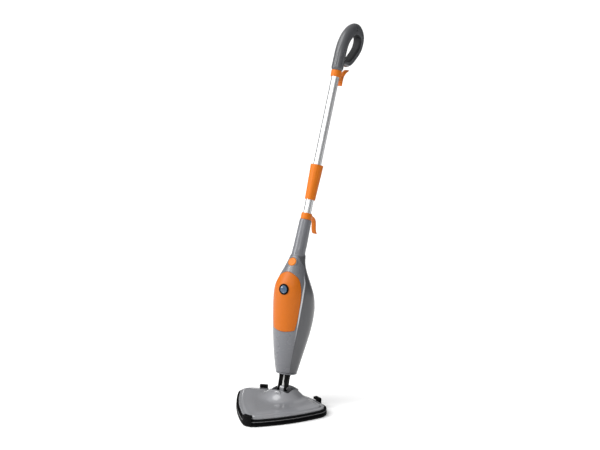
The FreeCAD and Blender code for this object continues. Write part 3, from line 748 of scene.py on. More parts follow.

# raised trim bead between the panel and the seam, with its face turned to the front; its lighter silver
# colour is a painted highlight
trim = {"from": 150.0, "to": 352.0, "rows": 150, "width": 4.6}
trimParts = []
for side in (1, -1):
    rows = []
    for k in range(trim["rows"]):
        t = trim["from"] + (trim["to"] - trim["from"]) * k / (trim["rows"] - 1)
        radius = skinRadius(t)
        # the width follows the painted highlight: widest where it is brightest, narrowing to nothing at both
        # ends
        taper = smoothValue([(trim["from"], 0.02), (190, 0.3), (222, 0.8), (250, 1), (310, 1), (335, 0.6),
                             (trim["to"], 0.02)], t)
        outerEdge = frontAngle(smoothValue(seamRows, t), t) - 2.2 / radius
        width = trim["width"] * taper / radius
        row = []
        for v, lift in ((0, -0.6), (0.0, 0.15), (0.1, 0.35), (0.3, 0.65), (0.55, 1.0), (0.8, 1.3),
                        (0.93, 1.25),
                        (1.0, 0.8), (1.0, -0.6)):
            scale = lift if lift < 0 else lift * min(1, taper * 1.3)
            row.append(skin(side * (outerEdge - width * (1 - v)), t, scale))
        rows.append(row)
    trimParts.append(sweep(rows, len(rows[0])))
makePiece("seamTrim", *joinParts(trimParts), highlightSilver, "upright", sharp=50)

# bottom ring: a band with a rolled lower edge and a floor round the yoke
ringProfile = [(24.0, 48.6), (24.0, 46.2), (28.6, 45.2), (30.6, 45.0), (31.3, 45.3), (31.8, 46.0),
               (32.3, 47.6),
               (32.3, 48.8), (31.7, 49.5), (29.0, 49.7)]


def onBodyBase(x, y, z):
    return onBody(x, y + smoothValue(offsetTable, 47.5), z)


baseVerts, baseFaces = lathe(onBodyBase, ringProfile, around=120)
makePiece("bottomRing", baseVerts, baseFaces, shellGrey, "upright", ["bottom_ring"], "grey_gloss_shell")
print("body made")

# floor of the bottom ring, with a slot for the yoke

# distance from the middle to a rounded box's edge along an angle
def roundedBox(halfX, halfY, corner, angle):
    low, high = 0.0, halfX + halfY
    for step in range(40):
        mid = (low + high) / 2
        x, y = abs(mid * cos(angle)), abs(mid * sin(angle))
        qx, qy = x - halfX + corner, y - halfY + corner
        away = sqrt(max(qx, 0) ** 2 + max(qy, 0) ** 2) + min(max(qx, qy), 0) - corner
        low, high = (mid, high) if away < 0 else (low, mid)
    return low


floorRows = []
slotMiddle = 4.0 - smoothValue(offsetTable, 47.5)
for v, z in ((0, 46.0), (0, 48.4), (0.2, 48.4), (1, 48.4), (1, 46.0), (0.2, 46.0)):
    row = []
    for k in range(120):
        angle = 2 * pi * k / 120
        slotReach = roundedBox(20.2, 9.3, 2.0, angle)
        sx, sy = slotReach * cos(angle), slotReach * sin(angle) + slotMiddle
        cx, cy = 25.0 * cos(angle), 25.0 * sin(angle)
        row.append(onBodyBase(sx + (cx - sx) * v, sy + (cy - sy) * v, z))
    floorRows.append(row)
floorVerts, floorFaces = [p for row in floorRows for p in row], gridFaces(6, 120, wrapRows=True,
                                                                          wrapColumns=True)
makePiece("bottomFloor", floorVerts, floorFaces, innerBlack, "upright")
makePiece("shellCrown", *lathe(onBodyTop, sheetRing, around=120), shellGrey, "upright")

# switch and filler cap
switchOffset = smoothValue(offsetTable, switch["height"]) - skinRadius(switch["height"])


# z comes out of the switch
def onSwitch(x, y, z):
    return onBody(x, switchOffset - z, switch["height"] + y)


bezelProfile = [(11.95, -5.8), (11.95, 0.4), (12.25, 0.95), (12.8, 1.15), (14.2, 1.2), (15.3, 1.1),
                (16.1, 0.65),
                (16.45, 0.0), (16.45, -5.8)]
makePiece("switchBezel", *lathe(onSwitch, bezelProfile, around=96), satinBlack, "upright", ["switch_bezel"],
          "black_plastic")
buttonProfile = [(0.01, -4.5), (11.55, -4.5), (11.55, 1.0), (11.3, 1.5), (10.7, 1.75), (9.9, 1.72),
                 (9.5, 1.35),
                 (9.1, 1.3), (8.8, 1.42), (5.0, 1.62), (0.01, 1.7)]
makePiece("switchButton", *lathe(onSwitch, buttonProfile, around=96), blueLens, "switch_button",
          ["switch_button"],
          "blue_lens")


def ribbedKnob(profile, ribs, around=180):
    verts = []
    for radius, height, ripple in profile:
        for j in range(around):
            angle = 2 * pi * j / around
            reach = radius - ripple * (0.5 - 0.5 * cos(ribs * angle))
            verts.append(onCap(reach * cos(angle), reach * sin(angle), height))
    return verts, gridFaces(len(profile), around, wrapRows=True, wrapColumns=True)


knobProfile = [(0.01, -5.0, 0), (12.6, -5.0, 0), (13.3, -4.4, 0.3), (13.45, -1.0, 0.45), (13.4, 0.2, 0.4),
               (12.9, 1.1, 0.1), (12.0, 1.75, 0), (10.8, 1.95, 0), (9.0, 1.98, 0), (8.4, 1.7, 0), (7.8,
                                                                                                   1.68, 0),
               (5.0, 1.85, 0), (0.01, 1.95, 0)]
makePiece("fillerCap", *ribbedKnob(knobProfile, 36), capOrange, "cap_knob", ["filler_cap"], "orange_plastic")
pocketProfile = [(13.95, -5.9), (13.95, -0.6), (14.1, 0.0), (14.6, 0.3), (15.4, 0.25), (16.2, -0.4),
                 (16.4, -1.6),
                 (16.4, -7.5), (7.4, -7.5), (7.4, -5.9)]
makePiece("fillerSeat", *lathe(onCap, pocketProfile, around=96), shellGrey, "upright")
print("switch and filler cap made")

# neck: starts on the round top of the body and turns into the pole's own direction
neck = {"blend": 34.0, "around": 120}
neckRows = []
neckSteps = [(-6.0, 19.2), (-1.2, 19.6), (-0.6, 20.9), (0.0, 21.6), (0.9, 21.75), (1.8, 21.5), (2.6, 20.9),
             (5, 20.5), (9, 20.25), (14, 20.1), (20, 19.95), (28, 19.8), (40, 19.6), (55, 19.3), (70, 18.95),
             (85, 18.55), (98, 18.15), (107.5, 17.85), (109.0, 17.75), (109.8, 17.3), (110.0,
                                                                                       16.6), (110.0, 12.4),
             (104, 12.3)]
for s, radius in neckSteps:
    share = min(max((s + 2) / neck["blend"], 0), 1)
    share = share * share * (3 - 2 * share)
    row = []
    for k in range(neck["around"]):
        angle = 2 * pi * k / neck["around"]
        x, y = radius * sin(angle), -radius * cos(angle)
        low = onBodyTop(x, y, body["top"] - 0.3 + s)
        high = onPole(x, y, s)
        row.append(low.lerp(high, share))
    neckRows.append(row)
neckVerts, neckFaces = sweep(neckRows, neck["around"])
makePiece("neckCover", neckVerts, neckFaces[:-2], shellGrey, "upright", ["neck_cover"], "grey_gloss_shell")

# tubes, sleeve and collars
tubeProfile = [(10.9, -12.0), (12.0, -12.0), (12.0, 219.0), (11.8, 220.0), (10.9, 220.0)]
upperTubeProfile = [(10.9, 226.0), (11.8, 226.0), (12.0, 227.0), (12.0, 600.0), (10.9, 600.0)]


# adds rings where a turned shape is long, so that shading stays even
def finely(profile, longest=25.0):
    result = [profile[0]]
    for (r0, z0), (r1, z1) in zip(profile, profile[1:]):
        steps = max(1, int(abs(z1 - z0) / longest))
        result += [(r0 + (r1 - r0) * k / steps, z0 + (z1 - z0) * k / steps) for k in range(1, steps + 1)]
    return result


lowerTubePiece = makePiece("lowerTube", *lathe(onPole, finely(tubeProfile), around=96), tubeMetal,
                           "upright", ["lower_tube"],
          "brushed_aluminium")
makePiece("upperTube", *lathe(onPole, finely(upperTubeProfile), around=96), tubeMetal, "upright",
          ["upper_tube"],
          "brushed_aluminium")
sleeve = {"flats": 8, "around": 192}
sleeveProfile = [(12.05, 172.5), (13.6, 171.6), (14.9, 171.5), (15.5, 171.9), (15.8, 172.9), (15.95, 176.0),
                 (16.2, 183.0), (16.6, 195.0), (17.2, 212.0), (17.8, 230.0), (18.4, 247.0), (18.9, 262.0),
                 (19.25, 272.0), (19.45, 276.4), (19.3, 277.7), (18.7, 278.5), (17.6, 278.7), (15.2, 278.2),
                 (13.4, 276.2), (12.05, 275.8)]
sleeveVerts = []
for radius, height in sleeveProfile:
    for j in range(sleeve["around"]):
        angle = 2 * pi * j / sleeve["around"]
        flute = 0.0 if radius < 15.5 else 0.42 * max(0.0, cos(sleeve["flats"] * angle)) ** 6
        reach = radius - flute
        sleeveVerts.append(onPole(reach * cos(angle), reach * sin(angle), height))
sleevePiece = makePiece("couplingSleeve", sleeveVerts,
                        gridFaces(len(sleeveProfile), sleeve["around"], wrapRows=True, wrapColumns=True),
                        fittingOrange, "upright", ["coupling_sleeve"], "orange_plastic")
lockHeight = 196.0


def onLock(x, y, z):
    return onPole(x, z, lockHeight - y)


for holed in (sleevePiece, lowerTubePiece):
    cut(holed, *lathe(onLock, [(0.01, 9.5), (4.4, 9.5), (4.4, 24), (0.01, 24)], around=48))
lockProfile = [(0.01, 13.3), (3.9, 13.3), (3.9, 17.3), (3.7, 17.9), (3.1, 18.2), (1.6, 18.1), (0.01, 17.9)]
makePiece("lockButton", *lathe(onLock, lockProfile, around=48), satinBlack, "lock_button", ["lock_button"],
          "black_plastic")
collarProfile = [(12.02, 110.3), (15.6, 110.2), (16.3, 110.6), (16.6, 111.4), (16.6, 118.0), (16.45, 124.0),
                 (16.1, 128.0), (15.5, 129.4), (14.4, 130.0), (12.9, 129.9), (12.02, 129.4)]
upperCollarProfile = [(12.02, 552.6), (13.8, 552.4), (15.0, 552.8), (15.6, 553.8), (15.8, 555.6),
                      (16.2, 570.6),
                      (16.0, 571.7), (15.3, 572.2), (12.02, 572.2)]


# rounded strap in the plane of the pole through (rear, height) points
def strapRings(path, width, thickness, count=64, corner=1.5):
    line = curvePoints([list(p) for p in path], count)
    rings = []
    for k in range(count):
        before, after = line[max(k - 1, 0)], line[min(k + 1, count - 1)]
        dy, dz = after[0] - before[0], after[1] - before[1]
        size = sqrt(dy * dy + dz * dz)
        ny, nz = -dz / size, dy / size
        endA = min(k / 3, 1)
        endB = min((count - 1 - k) / 3, 1)
        shrink = 0.55 + 0.45 * sin(min(endA, endB) * pi / 2)
        wide = width / 2 * (0.9 + 0.1 * shrink)
        deep = thickness / 2 * shrink
        ring = []
        for cx, cz, start in ((wide, deep, 0), (-wide, deep, 1), (-wide, -deep, 2), (wide, -deep, 3)):
            c = min(corner, deep * 0.9)
            for j in range(6):
                angle = pi / 2 * (start + j / 5)
                px = (abs(cx) - c) * (1 if cx > 0 else -1) + c * cos(angle)
                pz = (abs(cz) - c) * (1 if cz > 0 else -1) + c * sin(angle)
                ring.append(onPole(px, line[k][0] + ny * pz, line[k][1] + nz * pz))
        rings.append(ring)
    return sweep(rings, 24)


lowerHookPath = [(13.5, 123.5), (22, 124.2), (30, 123), (38.5, 120.4), (44.8, 116), (49.4, 109.5),
                 (52.6, 102),
                 (55.4, 94.5), (59, 87.5), (63.8, 82), (69, 78.6)]
upperHookPath = [(35.5, 533), (34.5, 539), (34.2, 545), (34.2, 551), (34.6, 557), (36.0, 563), (39.0, 569),
                 (43.5, 575), (50.0, 581.5), (60, 588.5)]
lowerCollar = joinParts([lathe(onPole, collarProfile, around=96), strapRings(lowerHookPath, 15.0, 4.2)])
makePiece("lowerCollar", *lowerCollar, fittingOrange, "upright", ["lower_collar"], "orange_plastic", sharp=45)
bracketParts = [lathe(onPole, upperCollarProfile, around=96)]
bracketRings = []
for y, half, low, high in ((12.5, 7.0, 544.4, 561.4), (28.0, 7.0, 544.4, 561.4), (30.6, 7.0, 544.4, 561.4),
                           (31.5, 6.3, 545.1, 560.7)):
    ring = []
    midZ, deep = (low + high) / 2, (high - low) / 2
    for start, sx, sz in ((0, 1, 1), (1, -1, 1), (2, -1, -1), (3, 1, -1)):
        for j in range(6):
            angle = pi / 2 * (start + j / 5)
            ring.append(onPole(sx * (half - 2) + 2 * cos(angle), y, midZ + sz * (deep - 2) + 2 * sin(angle)))
    bracketRings.append(ring)
bracketParts.append(sweep(bracketRings, 24))
makePiece("upperCollar", *joinParts(bracketParts), fittingOrange, "upright", ["upper_collar"],
          "orange_plastic")


def onHookPivot(x, y, z):
    return onPole(x, z, 553.0 - y)


hubProfile = [(2.1, 31.8), (6.2, 31.8), (6.5, 32.2), (6.5, 36.2), (6.1, 36.8), (5.4, 36.9), (2.1, 36.9)]
turningHook = joinParts([strapRings(upperHookPath, 15.0, 4.2), lathe(onHookPivot, hubProfile, around=64)])
makePiece("turningHook", *turningHook, fittingOrange, "cord_hook", ["turning_hook"], "orange_plastic",
          sharp=45)
print("pole, sleeve and hooks made")

# handle: two halves swept round the loop
handle = {
    "path": [(0, 572.6, 18.4, 18.0), (0, 587, 18.3, 18.0), (0, 602, 18.2, 18.0), (0.1, 619, 18.1, 18.0),
             (0.6, 636, 18.0, 18.0), (2.6, 651, 17.8, 18.1), (6.5, 665, 17.6, 18.4), (12.6, 678.5, 17.3,
                                                                                      18.9),
             (21, 691, 17.0, 19.5), (31.2, 702, 16.6, 20.1), (43, 710, 16.2, 20.5), (54.3, 714.6, 16.0, 20.4),
             (66, 715.5, 15.8, 20.0), (76.7, 712.6, 15.7, 18.2), (86, 707, 15.6, 16.0), (92.2, 699, 15.55,
                                                                                         14.0),
             (94.8, 689, 15.5, 12.9), (94.8, 676.6, 15.55, 12.2), (92.2, 664, 15.6, 11.9), (85.9, 651,
                                                                                            15.6, 11.8),
             (77.5, 639, 15.6, 11.6), (69.5, 628, 15.6, 11.5), (61, 618, 15.6, 11.5), (52, 610, 15.7, 11.0),
             (42, 604.5, 15.8, 10.5), (28, 602, 15.4, 9.5), (14, 601, 15.0, 8.5)],
    "bosses": [(0.6, 636), (43, 710), (91.6, 661), (42, 604.5)],
    "sections": 190,
    "half": 28,
    "gap": 0.12,
}
handleLine = curvePoints([list(p) for p in handle["path"]], handle["sections"])


# half cross-section: round outside, flatter inside round the hand hole, closed at the middle plane
def handleRing(k, side):
    y, z, wide, deep = handleLine[k]
    before, after = handleLine[max(k - 1, 0)], handleLine[min(k + 1, len(handleLine) - 1)]
    dy, dz = after[0] - before[0], after[1] - before[1]
    size = sqrt(dy * dy + dz * dz)
    ny, nz = -dz / size, dy / size
    share = k / (handle["sections"] - 1)
    flat = smoothValue([(0, 0), (0.30, 0.0), (0.42, 0.35), (0.52, 1), (0.9, 1), (1, 1)], share)
    inner = smoothValue([(0, 0), (0.10, 0.0), (0.16, 1.0), (0.9, 1), (1, 1)], share)
    close = 0.80 + 0.20 * sin(min(k / 4, 1) * pi / 2)
    ring = []
    for j in range(handle["half"] + 1):
        angle = pi / 2 - pi * j / handle["half"]
        sine, cosine = sin(angle), cos(angle)
        power = 1.0
        if sine < 0:
            power = 1.0 - 0.52 * flat
        sign = 1 if sine >= 0 else -1
        across = sign * abs(sine) ** power * deep * close
        out = max(cosine, 0) ** power * wide * close
        # parting line and the recess of the grip
        if j == 0 or j == handle["half"]:
            across *= 1 - 0.35 / deep
        if sine < 0 and inner > 0.02:
            edge = out / wide
            if edge < 0.80:
                across += 0.55 * inner * min(1, (0.80 - edge) / 0.05)
        ring.append(onPole(side * max(out, handle["gap"]), y + ny * across, z + nz * across))
    return ring


for side, name, node in ((1, "handleRight", "handle_right"), (-1, "handleLeft", "handle_left")):
    rings = [handleRing(k, side) for k in range(handle["sections"])]
    verts, faces = sweep(rings, handle["half"] + 1)
    gripFrom, gripTo = 0.13 * handle["sections"], 0.985 * handle["sections"]
    marks = []
    for face in faces:
        k, j = min(face) // (handle["half"] + 1), sorted(v % (handle["half"] + 1) for v in face)
        marks.append(1 if len(face) == 4 and j[0] >= 19 and gripFrom < k < gripTo else 0)
    piece = makePiece(name, verts, faces, handleGrey, "upright", [node], "grey_gloss_shell", sharp=42,
                      marks=marks, second=gripDark)
    if side > 0:
        for y, s in handle["bosses"]:
            def atBoss(u, v, w):
                return onPole(w, y + u, s + v)
            cut(piece, *lathe(atBoss, [(0.01, 12.9), (2.85, 12.9), (2.85, 24), (0.01, 24)], around=40))
print("handle made")

# head: three corner circles joined by long tangent arcs
head = {
    "corners": [((0.0, -68.1), 44.6), ((113.4, 73.1), 39.6), ((-113.4, 73.1), 39.6)],
    "arcs": [524.0, 270.3, 524.0],
    "samples": [64, 90, 64, 90, 64, 90],
    "hill": [(0, 56.5), (24, 55.2), (31, 53.4), (42, 47.8), (54, 40.2), (68, 32.6), (84, 27.6), (100, 25.0)],
}


def arcMiddle(a, ra, b, rb, radius):
    da, db = radius - ra, radius - rb
    gx, gy = b[0] - a[0], b[1] - a[1]
    span = sqrt(gx * gx + gy * gy)
    along = (da * da - db * db + span * span) / (2 * span)
    across = sqrt(da * da - along * along)
    ux, uy = gx / span, gy / span
    return (a[0] + ux * along - uy * across, a[1] + uy * along + ux * across)


# (centre, radius, unit direction) round the outline, anticlockwise
def headSamples(finer=1):
    spans = []
    for i in range(3):
        (a, ra), (b, rb) = head["corners"][i], head["corners"][(i + 1) % 3]
        middle = arcMiddle(a, ra, b, rb, head["arcs"][i])
        first = atan2(a[1] - middle[1], a[0] - middle[0])
        last = atan2(b[1] - middle[1], b[0] - middle[0])
        spans.append((middle, head["arcs"][i], first, last, b, rb))
    result = []
    for i in range(3):
        middle, radius, first, last, corner, cornerRadius = spans[i]
        if last < first:
            last += 2 * pi
        count = head["samples"][2 * i + 1] * finer
        for k in range(count):
            angle = first + (last - first) * k / count
            result.append((middle, radius, (cos(angle), sin(angle))))
        nextFirst = spans[(i + 1) % 3][2]
        while nextFirst < last:
            nextFirst += 2 * pi
        if nextFirst - last > 2 * pi:
            nextFirst -= 2 * pi
        count = head["samples"][2 * i] * finer
        for k in range(count):
            angle = last + (nextFirst - last) * k / count
            result.append((corner, cornerRadius, (cos(angle), sin(angle))))
    return result


outline = headSamples()


def headRow(inset, z):
    return [onHead(c[0] + (r - inset) * d[0], c[1] + (r - inset) * d[1], z) for c, r, d in outline]


def headBand(profile, closed=True):
    rows = [headRow(inset, z) for inset, z in profile]
    return [p for row in rows for p in row], gridFaces(len(rows), len(outline), wrapRows=closed,
                                                       wrapColumns=True)


bumperProfile = [(9.0, 10.0), (9.0, 20.3), (3.4, 20.4), (2.1, 20.25), (1.3, 19.7), (0.95, 18.8), (0.85, 17.4),
                 (0.9, 16.4), (1.25, 16.0), (1.9, 15.8), (1.9, 15.1), (1.1, 14.4), (0.88, 14.0), (0.82, 12.6),
                 (0.9, 11.2), (1.3, 10.3), (2.1, 9.95), (3.4, 9.9)]
bumperVerts, bumperFaces = headBand(bumperProfile)
# the groove's faces take the lighter grey, a painted highlight line
grooveHighlightMarks = [1 if 9 <= min(face) // len(outline) < 11 and len(bumperProfile) - 1 not in
               (v // len(outline) for v in face) else 0 for face in bumperFaces]
makePiece("rubberBumper", bumperVerts, bumperFaces, bumperRubber, "head", ["rubber_bumper"],
          "black_rubber", sharp=50,
          marks=grooveHighlightMarks, second=grooveHighlightGrey)
gliderProfile = [(30.0, 0.6), (30.0, 9.3), (29.6, 9.4), (3.0, 9.4), (1.4, 9.2), (0.5, 8.5), (0.08, 7.4),
                 (0.02, 5.6),
                 (0.15, 3.4), (0.7, 1.5), (1.9, 0.35), (3.6, 0.0), (29.3, 0.0)]


# least and greatest y of the outline, moved in by inset, at x
def headReach(x, inset):
    ys = []
    row = [(c[0] + (r - inset) * d[0], c[1] + (r - inset) * d[1]) for c, r, d in outline]
    for (x0, y0), (x1, y1) in zip(row, row[1:] + row[:1]):
        if (x0 - x) * (x1 - x) <= 0 and x0 != x1:
            ys.append(y0 + (y1 - y0) * (x - x0) / (x1 - x0))
    return min(ys), max(ys)


lowY, highY = headReach(0, 30)
sideX = max(c[0] + (r - 30) * d[0] for c, r, d in outline if abs(c[1] + (r - 30) * d[1]) < 14)
bars = [roundedBar(onHead, -9, 9, lowY - 4, highY + 4, 0.3, 9.2),
        roundedBar(onHead, -sideX - 4, sideX + 4, -9, 9, 0.25, 9.15)]
makePiece("carpetGlider", *joinParts([headBand(gliderProfile)] + bars), satinBlack, "head", ["carpet_glider"],
          "black_plastic")

# glossy cover: rim, step, crowned deck, mound and the opening for the joint
opening = {"x": 30.0, "y": 26.2, "midY": 85.8, "corner": 7.0}
rimProfile = [(8.5, 20.7), (8.5, 23.6), (8.7, 24.3), (9.2, 24.8), (10.0, 25.0), (15.0, 25.3), (16.4, 25.5),
              (17.3, 26.1), (18.6, 27.4), (20.0, 28.5), (21.4, 29.1), (23.2, 29.45), (26.0, 29.75), (30.0,
                                                                                                     30.1)]


def hillHeight(x, y):
    distance = sqrt(x * x + (y - 82) ** 2)
    if distance > 100:
        return 0.0
    return smoothValue(head["hill"], distance)


def softMax(a, b, blend):
    gap = max(blend - abs(a - b), 0) / blend
    return max(a, b) + gap * gap * blend / 4


# deck with a slight crown, rising towards the mound
def deckHeight(x, y, share):
    crown = 30.1 + 2.2 * (1 - (1 - min(share * 2.2, 1)) ** 2)
    return softMax(crown, hillHeight(x, y), 5.0)


deckInner = [(c[0] + (r - 30.0) * d[0], c[1] + (r - 30.0) * d[1]) for c, r, d in outline]


def openingPoint(x, y, grow):
    angle = atan2(y - opening["midY"], x)
    reach = roundedBox(opening["x"] + grow, opening["y"] + grow, opening["corner"] + grow, angle)
    return reach * cos(angle), opening["midY"] + reach * sin(angle)


coverRows = [headRow(inset, z) for inset, z in rimProfile]
lipStart = 6.0
deckSteps = 54
for step in range(1, deckSteps + 1):
    share = step / deckSteps
    row = []
    for x, y in deckInner:
        ex, ey = openingPoint(x, y, lipStart)
        px, py = x + (ex - x) * share, y + (ey - y) * share
        reach = sqrt((x - ex) ** 2 + (y - ey) ** 2) * share
        row.append(onHead(px, py, deckHeight(px, py, min(reach / 60, 1))))
    coverRows.append(row)
for grow, rise in ((4.6, 0.15), (3.6, 0.6), (2.8, 1.3), (2.0, 1.9), (1.2, 2.15), (0.5, 2.0), (0.12, 1.5),
                   (0.0, 0.6),
                   (0.0, -4.0), (0.0, -9.0)):
    row = []
    for x, y in deckInner:
        ex, ey = openingPoint(x, y, grow)
        ox, oy = openingPoint(x, y, max(grow, 0.5))
        side = min(max((abs(ex) - 14) / 12, 0), 1)
        base = deckHeight(ox, oy, 1)
        lift = rise * (0.30 - 0.15 * side) if rise > 0 else rise
        row.append(onHead(ex, ey, base + lift))
    coverRows.append(row)
sheetPiece("headCover", coverRows, headGrey, ["head_cover"], 2.2, "grey_gloss_shell",
           inside=Vector((0, 0.03, -0.02)), body="head", sharp=50)
print("head cover made")

# half-round housing in front of the joint, with a raised rib round it
housing = {"front": 44.5, "rear": 58.8, "z": 40.0}


# z runs forwards along the drum's line
def onHousing(x, y, z):
    return onHead(x, housing["rear"] - z, housing["z"] + y)


def archRings(radii, start=0.0):
    rings = []
    for radius, z in radii:
        ring = []
        for j in range(49):
            angle = pi * j / 48
            ring.append(onHousing(radius * cos(angle), max(radius * sin(angle), 0) + start, z))
        rings.append(ring)
    return rings


depth = housing["rear"] - housing["front"]
archProfile = [(15.0, 0.0), (16.6, 0.0), (16.6, depth - 6.0), (17.4, depth - 5.4), (17.6, depth - 4.6),
               (17.6, depth - 3.4), (17.4, depth - 2.6), (16.4, depth - 1.8), (15.6, depth - 0.9),
               (14.2, depth - 0.2), (12.6, depth), (9.6, depth), (9.0, depth - 0.4), (8.6, depth - 1.2),
               (0.4, depth - 1.3)]
archVerts, archFaces = sweep(archRings(archProfile), 49)
makePiece("jointHousing", archVerts, archFaces[:-2], headGrey, "head", sharp=40, wall=1.2)


# cloth clips follow the outline

# outline sample at a signed distance along the edge from a starting one
def headEdge(distance, start):
    index = start
    step = 1 if distance > 0 else -1
    left = abs(distance)
    count = len(finest)
    while True:
        c, r, d = finest[index % count]
        c2, r2, d2 = finest[(index + step) % count]
        dx = (c2[0] + r2 * d2[0]) - (c[0] + r * d[0])
        dy = (c2[1] + r2 * d2[1]) - (c[1] + r * d[1])
        size = sqrt(dx * dx + dy * dy)
        if size >= left:
            return finest[index % count]
        left -= size
        index += step


finest = headSamples(12)


def nearestSample(x, y):
    best = min(range(len(finest)), key=lambda i: (finest[i][0][0] + finest[i][1] * finest[i][2][0] - x) ** 2
               + (finest[i][0][1] + finest[i][1] * finest[i][2][1] - y) ** 2)
    return best


def clipShape(x, y, half, top):
    start = nearestSample(x, y)
    profile = [(0.45, 2.0), (1.4, 2.0), (3.2, 2.5), (3.75, 3.8)]
    z = 8.0
    while z < top - 9:
        profile += [(3.75, z), (3.2, z + 0.5), (3.2, z + 1.3), (3.75, z + 1.8)]
        z += 4.2
    profile += [(3.75, top - 2.6), (3.3, top - 0.9), (2.0, top), (-8.0, top), (-9.0, top - 0.6),
                (-9.15, top - 1.8),
                (-9.15, 26.2), (-8.2, 25.5), (-6.9, 25.9), (-6.4, 27.0), (-6.4, top - 3.6), (-5.8, top - 3.1),
                (-0.6, top - 3.1), (0.2, top - 3.5), (0.45, top - 4.6)]
    rings = []
    for m in range(29):
        share = m / 28
        distance = -half + 2 * half * share
        c, r, d = headEdge(distance, start)
        end = min(m, 28 - m)
        tuck = (0.5, 0.15, 0.0)[min(end, 2)]
        middleZ, middleOut = (2 + top) / 2, -1.5
        ring = []
        for out, z in profile:
            px = out - tuck * (1 if out > middleOut else -1)
            pz = z - tuck * (1 if z > middleZ else -1)
            ring.append(onHead(c[0] + (r + px) * d[0], c[1] + (r + px) * d[1], pz))
        rings.append(ring)
    return sweep(rings, len(profile))


makePiece("frontClip", *clipShape(0, -112.7, 15.0, 34.5), satinBlack, "head", ["front_clip"],
          "black_plastic", sharp=45)
makePiece("rearClips", *joinParts([clipShape(98, 124.1, 12.5, 33.5), clipShape(-98, 124.1, 12.5, 33.5)]),
          satinBlack,
          "head", ["rear_clips"], "black_plastic", sharp=45)
print("clips made")

# yoke: two prongs with rounded ends, joined inside the body
yoke = {"lean": 4.5, "inner": 7.6, "outer": 14.9, "half": 8.0, "top": 61.5,
        "flare": [(0, 0), (30, 0), (36, 0.3), (41, 1.4), (46, 3.0), (51, 3.6), (62, 3.6)]}


def onYoke(x, y, z):
    lean = radians(yoke["lean"])
    return onBody(x, y * cos(lean) + z * sin(lean), -y * sin(lean) + z * cos(lean))


# side view outline swept across, with rounded edges and a shallow channel in the outer face
def prongShape(side):
    outlinePoints = []
    for j in range(25):
        angle = pi + pi * j / 24
        outlinePoints.append((yoke["half"] * cos(angle), yoke["half"] * sin(angle)))
    levels = (8, 16, 24, 30, 33, 36, 39, 42, 45, 48, 52, yoke["top"])
    outlinePoints += [(yoke["half"] + 0.4 * z / 60, z) for z in levels]
    outlinePoints += [(-yoke["half"] - 0.2 * z / 60, z) for z in levels[::-1]]
    rings = []
    for x, shrink in ((yoke["inner"], 1.0), (yoke["inner"] + 0.25, 0.4), (yoke["inner"] + 1.0, 0.0),
                      (yoke["outer"] - 1.6, 0.0),
                      (yoke["outer"] - 0.6, 0.35), (yoke["outer"] - 0.1, 1.1), (yoke["outer"],
                                                                                1.9), (yoke["outer"], 3.0),
                      (yoke["outer"] - 0.7, 3.5)):
        ring = []
        for y, z in outlinePoints:
            scaleY = (yoke["half"] - shrink) / yoke["half"]
            lowZ = z * scaleY if z < 0 else z
            part = (x - yoke["inner"]) / (yoke["outer"] - yoke["inner"])
            wide = x + part * smoothValue(yoke["flare"], max(z, 0))
            ring.append(onYoke(side * wide, y * scaleY, min(lowZ, yoke["top"] - shrink)))
        rings.append(ring)
    return sweep(rings, len(outlinePoints))


flange = lathe(onBody, [(0.01, 56.2), (26, 56.2), (26, 61.8), (0.01, 61.8)], around=64)
shifted = [v + mm * 9.4 * bodyBack for v in flange[0]]
yokeParts = [prongShape(1), prongShape(-1), (shifted, flange[1]), roundedBar(onYoke, -8, 8, -8, 8, 53, 61)]
for side in (1, -1):
    cheek = []
    for z, inner in ((12.5, 7.7), (14.5, 6.6), (17.0, 5.2), (20.0, 4.5), (24.0, 4.3), (60.0, 4.3)):
        cheek.append([onYoke(side * x, y, z) for x, y in ((inner, -7.2), (9.0, -7.2), (9.0, 7.2),
                                                          (inner, 7.2))])
    yokeParts.append(sweep(cheek, 4))
makePiece("yokeProngs", *joinParts(yokeParts), satinBlack, "upright", ["yoke"], "black_plastic", sharp=45)

# screws and hook bristles: copies of a small shape, placed by geometry nodes

